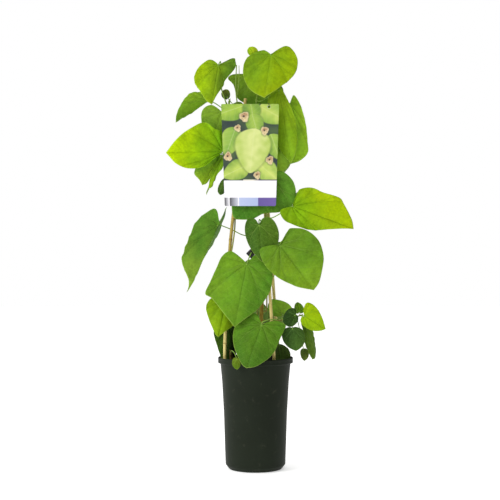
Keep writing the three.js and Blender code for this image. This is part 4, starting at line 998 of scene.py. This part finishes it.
def stalkMaterial():
    material, tree, shader = startMaterial("leaf_stalk_green")
    streak = noiseIn(tree, objectPattern(tree, (1, 1, 0.3)), 500)
    dress(tree, shader, blendColour(tree, streak, "#5f8a24", "#93b548"), 0.5, 0.25)
    addBump(tree, shader, streak, 0.4, 0.25)
    return material


stalkGreen = stalkMaterial()
leafGreens = {tone: [leafMaterial(tone, False), leafMaterial(tone, True)] for tone in leafFinish}


def bladeOf(leaf):
    bpy.ops.object.select_all(action="DESELECT")
    bpy.ops.mesh.primitive_grid_add(
        x_subdivisions=leaf["size"]["turns"], y_subdivisions=leaf["size"]["rings"], size=2)
    blade = bpy.context.object
    mesh = blade.data
    for name, kind in (("flat", "FLOAT_VECTOR"), ("rays", "FLOAT_VECTOR"), ("greens", "FLOAT_COLOR")):
        mesh.attributes.new(name, kind, "POINT")
    flats, rays, greens = mesh.attributes["flat"], mesh.attributes["rays"], mesh.attributes["greens"]
    for vertex in mesh.vertices:
        turn = vertex.co.x
        share = (0.5 + vertex.co.y / 2) ** 0.75
        point, flat = bladePoint(leaf, turn, share)
        flats.data[vertex.index].vector = flat
        rays.data[vertex.index].vector = (turn, share, leaf["length"])
        greens.data[vertex.index].color = greensWithPaintedLight(leaf, point)
        vertex.co = point * mm
    justThis(blade)
    editAll()
    bpy.ops.mesh.remove_doubles(threshold=0.02 * mm)
    editDone()
    widest = max(mesh.polygons, key=lambda polygon: polygon.area)
    if widest.normal.dot(leaf["face"]) < 0:
        flipFaces()
    for material in (*leafGreens[leaf["tone"]], stalkGreen):
        mesh.materials.append(material)
    finishWith(blade, "SOLIDIFY", thickness=bladeLook["thickness"] * mm, offset=0, material_offset=1)
    bpy.ops.object.shade_smooth()
    return blade


def stalkOf(leaf):  # its points, its radii and the place of its bud on the stem
    stem, radius, notch, via = supports[leaf["stem"]], leaf["size"]["stalk"], leaf["notch"], leaf["via"]
    centre, out, bud = budOn(stem, leaf["bud"], via[0] if via else notch)
    start = centre + out * (stem["radius"] + clearance)
    axis = leaf["axis"].normalized()
    under = notch - leaf["face"] * (0.8 * radius)
    reach = (start - notch).length
    arrive = (axis * 0.5 + leaf["face"] * 0.8).normalized()
    points = [start, start + out * min(6, reach * 0.2), *via]
    if not via:
        points.append(under - arrive * min(12, reach * 0.35))
    points += [under, under + axis * 3]
    run, steps = Path(points), bladeLook["stalkSteps"]
    places = [centre + out * 0.4 * stem["radius"]] + [run.point(i / steps) for i in range(steps + 1)]
    radii = []
    for i in range(len(places)):
        along = i / (len(places) - 1)
        swell = 0.45 * bell(along, 0.07) + 0.2 * bell(along - 0.93, 0.06)
        taper = 1 - 0.75 * smoothStep(0.955, 1, along)
        radii.append(radius * (0.86 + swell) * taper)
    return places, radii, bud


def underVeins(leaf):  # raised ribs behind the blade
    runs = []
    steps = leaf["size"]["ribSteps"]
    behind = leaf["face"] * (bladeLook["thickness"] / 2 + 0.06)
    for side in (1, -1):
        for end, drift, start in bladeLook["veins"]:
            if side < 0 and end == 0:
                continue
            places, radii = [], []
            low, high = max(start, 0.02), 0.93 if start else 0.97
            strength = leaf["size"]["rib"] * (0.6 if start else 1) * (0.8 if end else 1)
            for i in range(steps + 1):
                share = low + (high - low) * i / steps
                point, _ = bladePoint(leaf, side * (end + drift * (1 - share)), share)
                places.append(point - behind)
                radii.append(max(strength * (1 - share) ** 0.8, 0.1))
            runs.append((places, radii))
    return runs


budsOn = {name: [] for name in supports}
for leaf in leafRows:
    blade = bladeOf(leaf)
    stalkPlaces, stalkRadii, bud = stalkOf(leaf)
    budsOn[leaf["stem"]].append(bud)
    greenParts = [tubes([(stalkPlaces, stalkRadii)], 3), tubes(underVeins(leaf), 1)]
    for part in greenParts:
        for _ in range(3):
            part.data.materials.append(stalkGreen)
        for polygon in part.data.polygons:
            polygon.material_index = 2
    joined(blade, greenParts)
    standsFor(blade, leaf["name"])
print(len(leafRows), "leaves are grown")


# Green shoots with swollen nodes, and bark on the old wood
shootLook = {
    # the left stem's top forks, and by the card it bears an old stalk and a dark bud
    "twigs": [
        {"way": [(-37, 742, -11), (-34.5, 760, -10), (-32.5, 784, -7), (-33, 805, -5)],
         "radii": [0.9, 0.85, 0.8, 0.55]},
        {"way": [(-36.5, 716, -10), (-48, 718, -15), (-58, 727, -21), (-63, 742, -23), (-69, 759, -21)],
         "radii": [1.2, 1.2, 1.15, 1.1, 0.8]},
        {"way": [(-50, 719, -16), (-53, 727, -18), (-52.5, 733, -18), (-50.5, 739, -18)],
         "radii": [0.8, 1.9, 2.3, 0.5]}],
    # a small bud above each leaf stalk: distance out of the stem, rise along it, radius
    "bud": [(0, 0, 0.5), (0.9, 0.9, 0.85), (1.2, 2.2, 0.6), (1.1, 3.3, 0.12)], "budAbove": 2.2,
    "samples": 260, "sides": 4, "nodeSwell": 0.42, "nodeReach": 2.6,
    # where each begins to taper, and what it loses by its tip
    "taper": {"stem_left": (0.78, 0.3), "stem_middle": (0.78, 0.3),
              "stem_back": (0.5, 0.35), "side_shoot": (0.5, 0.35)},
}
barkLook = {"steps": 60, "rough": {"old_wood": 0.1, "pruned_stub": 0.12}}


def shootMaterial():
    material, tree, shader = startMaterial("green_stem_skin")
    streak = noiseIn(tree, objectPattern(tree, (1, 1, 0.2)), 600, 5)
    blotch = noiseIn(tree, objectPattern(tree), 60)
    young = ramp(tree, partsOf(tree, objectPattern(tree))[2], 0.34, 0.72)
    old = blendColour(tree, streak, "#7f7c36", "#aca757")
    colour = blendColour(tree, young, old, blendColour(tree, streak, "#4f6d1f", "#86a03a"))
    colour = blendColour(tree, ramp(tree, blotch, 0.6, 0.75, 0, 0.5), colour, "#4b3d22")
    dress(tree, shader, colour, 0.55, 0.25)
    addBump(tree, shader, streak, 0.6, 0.3)
    return material


def barkMaterial():
    material, tree, shader = startMaterial("bark_brown")
    crack = noiseIn(tree, objectPattern(tree, (1, 1, 0.12)), 700, 6, 0.7)
    lichen = noiseIn(tree, objectPattern(tree), 90, 5, 0.65)
    colour = blendColour(tree, ramp(tree, crack, 0.35, 0.65), "#7d621c", "#cdae52")
    colour = blendColour(tree, ramp(tree, lichen, 0.6, 0.75, 0, 0.6), colour, "#8f9a45")
    height = partsOf(tree, objectPattern(tree))[2]
    # Painted shade: the bark darkens towards the bottom, from 270 mm down to 240 mm, where the wood and the
    # stub go into the shaded mouth of the pot
    colour = blendColour(tree, ramp(tree, height, 0.24, 0.27, 0.75, 0), colour, "#3f2a22")
    dress(tree, shader, colour, 0.85, 0.2)
    addBump(tree, shader, crack, 1.0, 0.7)
    return material


def shootRadii(places, buds, taper):
    begins, loss = taper
    radii = []
    for i, place in enumerate(places):
        swell = max([bell((place - bud).length, shootLook["nodeReach"]) for bud in buds], default=0)
        thin = 1 - loss * smoothStep(begins, 1, i / shootLook["samples"])
        radii.append(stemRadius * thin * (0.93 + shootLook["nodeSwell"] * swell))
    return radii


def budRun(path, share):
    run = path.tangent(share)
    if run.z < 0:
        run = -run
    side = Vector((math.cos(share * 40), math.sin(share * 40), 0))
    start = path.point(share) + run * shootLook["budAbove"] + side
    return ([start + side * out + run * rise for out, rise, _ in shootLook["bud"]],
            [radius for _, _, radius in shootLook["bud"]])


stemSkin = shootMaterial()
barkSkin = barkMaterial()
for name, taper in shootLook["taper"].items():
    path = supports[name]["path"]
    samples = shootLook["samples"]
    places = [path.point(i / samples) for i in range(samples + 1)]
    runs = [(places, shootRadii(places, [path.point(bud) for bud in budsOn[name]], taper))]
    if name == "stem_left":
        runs += [(seenAll(twig["way"]), twig["radii"]) for twig in shootLook["twigs"]]
    runs += [budRun(path, bud) for bud in budsOn[name]]
    shoot = tubes(runs, shootLook["sides"])
    shoot.data.materials.append(stemSkin)
    standsFor(shoot, name)

for name, rough in barkLook["rough"].items():
    path, radius, steps = supports[name]["path"], supports[name]["radius"], barkLook["steps"]
    places = [path.point(i / steps) for i in range(steps + 1)]
    radii = [radius * (0.9 + rough * (0.5 + noise.noise(Vector((i * 0.22, radius, 3)))))
             for i in range(steps + 1)]
    wood = tubes([(places, radii)], 8)
    for vertex in wood.data.vertices:
        centre = path.atHeight(vertex.co.z / mm) * mm
        out = Vector((vertex.co.x - centre.x, vertex.co.y - centre.y, 0))
        grain = noise.noise(Vector((vertex.co.x * 900, vertex.co.y * 900, vertex.co.z * 90)))
        vertex.co += out * 0.1 * grain
    wood.data.materials.append(barkSkin)
    standsFor(wood, name)
print("stems are wound round the canes")


# Printed hanging card: leaf shapes over a dark ground, a bare white band and a strip of boxes
cardLook = {
    "topLeft": (-68.8, 728, -30), "topRight": (47.2, 728, -30),
    "bottomRight": (40.8, 524, -54), "bottomLeft": (-61.4, 524, -54),
    "thickness": 0.8, "corner": 2.5, "cells": (116, 204), "printWide": 108,
    "hole": {"inset": 20, "drop": 6, "radius": 3},
    "band": (0.079, 0.246), "line": 0.256, "inkStrength": 0.88,
    "ground": "#0e262e", "glow": "#4c6a2c", "shadow": "#16232a", "veins": "#e3eaa6",
    "plain": "#f2f0f5", "rule": ("#d6d0b8", "#4b3f5c"),
    "petals": ("#e9d6a0", "#a8714c"), "petalRim": "#ecdcaa", "throat": "#2d0f0d",
    # each printed leaf: its middle across and up the card in mm, half length, half width, turn, greens
    "leaves": [
        (14, 190, 31, 21, 200, "#a8c83c", "#7aa628"), (98, 184, 31, 22, 330, "#c3d75e", "#8fb93a"),
        (56, 198, 25, 16, 100, "#93b834", "#6c9626"), (16, 128, 31, 19, 250, "#86b23a", "#b0cc52"),
        (103, 118, 27, 18, 290, "#a3c546", "#739f2b"), (24, 70, 29, 19, 205, "#c2d75c", "#84aa34"),
        (90, 68, 31, 20, 320, "#cfdf6c", "#98bd44"), (64, 160, 25, 16, 285, "#a2c244", "#7fa832"),
        (58, 110, 45, 33, 264, "#dde68e", "#b6ce58")],
    # small flared flowers: across, up and radius
    "flowers": [(43, 178, 8.5), (82, 150, 7), (30, 155, 6), (93, 91, 7), (10, 98, 7.5), (68, 61, 6.5)],
    # boxes in the strip: where each ends, its left and right colours
    "boxes": [
        (9, "#2c2b30", "#d9d8de"), (11, "#f4f2f5", "#f4f2f5"), (28, "#3f4048", "#c4c7d4"),
        (30, "#f4f2f5", "#f4f2f5"), (70, "#b3bedf", "#a7b4da"), (120, "#5b4a92", "#6b55a0")],
}


def blended(first, second, share):
    return mixedPaint(first, second, min(max(share, 0), 1))


def printedFlower(colour, across, up, flower):
    x, y, radius = flower
    dx, dy = across - x, (up - y) * 0.86
    angle = math.atan2(dy, dx)
    edge = radius * (1 + 0.13 * math.sin(3 * angle + x) + 0.05 * math.sin(7 * angle + y))
    reach = math.hypot(dx, dy) / edge
    if reach > 1.5:
        return colour
    colour = blended(blended(colour, cardLook["shadow"], 0.55), colour, (reach - 1) / 0.5)
    streak = 0.5 + 0.5 * noise.noise(Vector((angle * 3, reach * 2, x)))
    petal = blended(*cardLook["petals"], streak * 1.3 - 0.2 + 0.3 * math.sin(angle))
    petal = blended(petal, cardLook["petalRim"], (reach - 0.72) / 0.3)
    heart = math.hypot(dx + 0.12 * radius, dy - 0.1 * radius) / edge
    petal = blended(cardLook["throat"], petal, (heart - 0.16) / 0.16)
    return blended(petal, colour, (reach - 0.94) / 0.12)


def printedLeaf(colour, across, up, leaf):
    x, y, long, wide, turn, inner, outer = leaf
    angle = math.radians(turn)
    dx, dy = across - x, up - y
    along = (dx * math.cos(angle) + dy * math.sin(angle)) / long
    out = (-dx * math.sin(angle) + dy * math.cos(angle)) / wide
    if abs(along) >= 1:
        return colour
    edge = (1 - along ** 2) ** 0.6 * (1 - 0.35 * along) - 0.28 * max(-along - 0.72, 0)
    inside = edge - abs(out)
    if inside < -0.2:
        return colour
    colour = blended(blended(colour, cardLook["shadow"], 0.4), colour, -inside / 0.2)
    rib = abs((along * 3.2 - abs(out) * 1.3) % 1 - 0.5)
    mottle = 0.5 * noise.noise(Vector((across * 0.09, up * 0.09, x)))
    paint = blended(inner, outer, abs(out) + 0.25 * along + mottle)
    paint = blended(paint, cardLook["veins"], 0.3 * bell(out * wide, 0.8) + 0.1 * bell(rib, 0.07))
    return blended(colour, paint, (inside + 0.06) / 0.1)


def printedColour(across, up, tall):  # mm from the card's lower left corner; the print at that place
    low, high = cardLook["band"]
    if up < low * tall:
        start = 0
        for end, left, right in cardLook["boxes"]:
            if across < end:
                return blended(left, right, (across - start) / (end - start))
            start = end
    if up < high * tall:
        return linear(cardLook["plain"])
    if up < cardLook["line"] * tall and across > 40:
        return blended(*cardLook["rule"], (across - 60) / 12)
    cloud = 0.5 + 0.9 * noise.noise(Vector((across * 0.035, up * 0.035, 4)))
    colour = blended(cardLook["ground"], cardLook["glow"], cloud * cloud)
    for leaf in cardLook["leaves"]:
        colour = printedLeaf(colour, across, up, leaf)
    for flower in cardLook["flowers"]:
        colour = printedFlower(colour, across, up, flower)
    return [value * cardLook["inkStrength"] for value in colour]


def cardMaterial():
    material, tree, shader = startMaterial("printed_card_gloss")
    fine = noiseIn(tree, objectPattern(tree), 1400, 3)
    colour = tint(tree, attribute(tree, "print", "Color"), "#ffffff", fine, 0.05)
    dress(tree, shader, colour, calc(tree, "MULTIPLY_ADD", fine, 0.1, 0.3), 0.3)
    feed(tree, shader, {"Coat Weight": 0.1, "Coat Roughness": 0.2})
    addBump(tree, shader, noiseIn(tree, objectPattern(tree), 18, 3), 0.2, 1.2)
    return material


topLeft, topRight, bottomLeft, bottomRight = seenAll(
    cardLook[corner] for corner in ("topLeft", "topRight", "bottomLeft", "bottomRight"))
cardUp = topLeft - bottomLeft
cardUp.x = 0
cardTall = cardUp.length
cardUp.normalize()
cardFront = Vector((0, -cardUp.z, cardUp.y))
columns, rows = cardLook["cells"]
bpy.ops.object.select_all(action="DESELECT")
bpy.ops.mesh.primitive_grid_add(x_subdivisions=columns, y_subdivisions=rows, size=2)
card = bpy.context.object
ink = card.data.attributes.new("print", "FLOAT_COLOR", "POINT")
corner = cardLook["corner"]
for vertex in card.data.vertices:
    u, v = (vertex.co.x + 1) / 2, (vertex.co.y + 1) / 2
    left = bottomLeft.x + (topLeft.x - bottomLeft.x) * v
    wide = bottomRight.x + (topRight.x - bottomRight.x) * v - left
    across, up = u * wide, v * cardTall
    dx = corner - min(across, wide - across)
    dy = corner - min(up, cardTall - up)
    if dx > 0 and dy > 0:  # rounded corners
        shrink = max(dx, dy) / max(math.hypot(dx, dy), 0.001)
        across += (1 - shrink) * dx * (1 if u < 0.5 else -1)
        up += (1 - shrink) * dy * (1 if v < 0.5 else -1)
    ink.data[vertex.index].color = (*printedColour(u * cardLook["printWide"], up, cardTall)[:3], 1)
    vertex.co = (Vector((left + across, bottomLeft.y, bottomLeft.z)) + cardUp * up) * mm
justThis(card)
if card.data.polygons[0].normal.y > 0:
    flipFaces()
card.data.materials.append(cardMaterial())
finishWith(card, "SOLIDIFY", thickness=cardLook["thickness"] * mm, offset=0)
hole = cardLook["hole"]
holePlace = topRight - cardUp * hole["drop"]
holePlace.x -= hole["inset"]
bpy.ops.object.select_all(action="DESELECT")
bpy.ops.mesh.primitive_cylinder_add(vertices=40, radius=hole["radius"] * mm, depth=0.01)
punch = bpy.context.object
punch.rotation_euler = cardFront.to_track_quat("Z", "Y").to_euler()
punch.location = holePlace * mm
cutWith(card, punch)
smoothUpTo(card, 30)
standsFor(card, "label_card")
print("card is printed")


# Coated wire tie: two strands twisted together, from the rear cane through the hole and back
tieLook = {"radius": 0.7, "strand": 0.36, "nestle": 0.9, "twist": 5.0, "samples": 300}
seat = 0.85 * hole["radius"] - tieLook["radius"] - clearance
overEdge = hole["drop"] + tieLook["radius"] + 1.5 * clearance
outside = cardLook["thickness"] / 2 + tieLook["radius"] + 1.5 * clearance
hugCane = canePaths["cane_back"].atHeight(holePlace.z + 2)
hug = caneRadius + tieLook["radius"] + 1.3 * clearance


def byHole(across, rise, behind):
    return holePlace + Vector((across, 0, 0)) + cardUp * rise - cardFront * behind


def byCane(x, y, z):
    return hugCane + Vector((x * hug, y * hug, z))


tiePath = Path([
    byCane(0.75, 0.75, 1), byCane(-0.1, 1.06, 1), byCane(-0.9, 0.55, 0.6), byCane(-0.9, -0.55, 0.3),
    byCane(-0.5, -2.2, 0), byHole(-4, seat, 10), byHole(-0.4, seat, 2.5), byHole(0, seat, 0),
    byHole(0, seat, -outside), byHole(0, overEdge - 0.8, -outside), byHole(0, overEdge, 0),
    byHole(-3, overEdge, 7), byCane(1.5, -0.6, 4)])


def tieMaterial():
    material, tree, shader = startMaterial("tie_wire_green")
    worn = noiseIn(tree, objectPattern(tree), 500, 5)
    dress(tree, shader, blendColour(tree, ramp(tree, worn, 0.4, 0.7), "#1f2c19", "#42532f"), 0.42, 0.4)
    addBump(tree, shader, worn, 0.3, 0.1)
    return material


samples = tieLook["samples"]
places = [tiePath.point(i / samples) for i in range(samples + 1)]
side = Vector((1, 0, 0))
travel = 0
frames = []
for i, place in enumerate(places):
    run = tiePath.tangent(i / samples)
    side = (side - run * side.dot(run)).normalized()
    if i:
        travel += (place - places[i - 1]).length
    frames.append((place, side.copy(), run.cross(side), 2 * math.pi * travel / tieLook["twist"]))
strands = []
for phase in (0, math.pi):
    strand = [place + (across * math.cos(phase + angle) + upward * math.sin(phase + angle))
              * tieLook["strand"] * tieLook["nestle"] for place, across, upward, angle in frames]
    strands.append((strand, [tieLook["strand"]] * len(strand)))
tie = tubes(strands, 2)
tie.data.materials.append(tieMaterial())
standsFor(tie, "label_tie")


# Small square clip on the stalk of the middle leaf, with a raised pad in its recess
clipLook = {
    "place": (-9, 429, -37.5), "side": 14, "deep": 4, "rim": 1.8, "recess": 0.9, "slope": 1.2, "pad": 0.5,
    "round": 0.8}


def clipMaterial():
    material, tree, shader = startMaterial("clip_plastic_black")
    scuff = noiseIn(tree, objectPattern(tree), 160, 5, 0.7)
    paint = blendColour(tree, ramp(tree, scuff, 0.55, 0.75), "#111310", "#2c2f28")
    dress(tree, shader, paint, ramp(tree, scuff, 0.3, 0.8, 0.35, 0.6), 0.4)
    addBump(tree, shader, noiseIn(tree, objectPattern(tree), 900), 0.3, 0.15)
    return material


bpy.ops.object.select_all(action="DESELECT")
bpy.ops.mesh.primitive_cube_add(size=1)
clip = bpy.context.object
clip.scale = (clipLook["side"] * mm, clipLook["deep"] * mm, clipLook["side"] * mm)
settle(clip)
editFaces(clip, lambda face: abs(face.normal.y) > 0.9)
for width, rise in ((clipLook["rim"], -clipLook["recess"]), (clipLook["slope"], clipLook["pad"])):
    bpy.ops.mesh.inset(thickness=width * mm, use_individual=True)
    bpy.ops.transform.shrink_fatten(value=rise * mm)
editDone()
finishWith(clip, "BEVEL", width=clipLook["round"] * mm, segments=3, limit_method="ANGLE")
clip.rotation_euler = (0, math.pi / 4, 0)
clip.location = (seen(*clipLook["place"]) - Vector((0, clipLook["deep"] / 2, 0))) * mm
settle(clip)
clip.data.materials.append(clipMaterial())
smoothUpTo(clip, 35)
standsFor(clip, "stalk_clip")
print("card hangs on its tie and the clip is on")
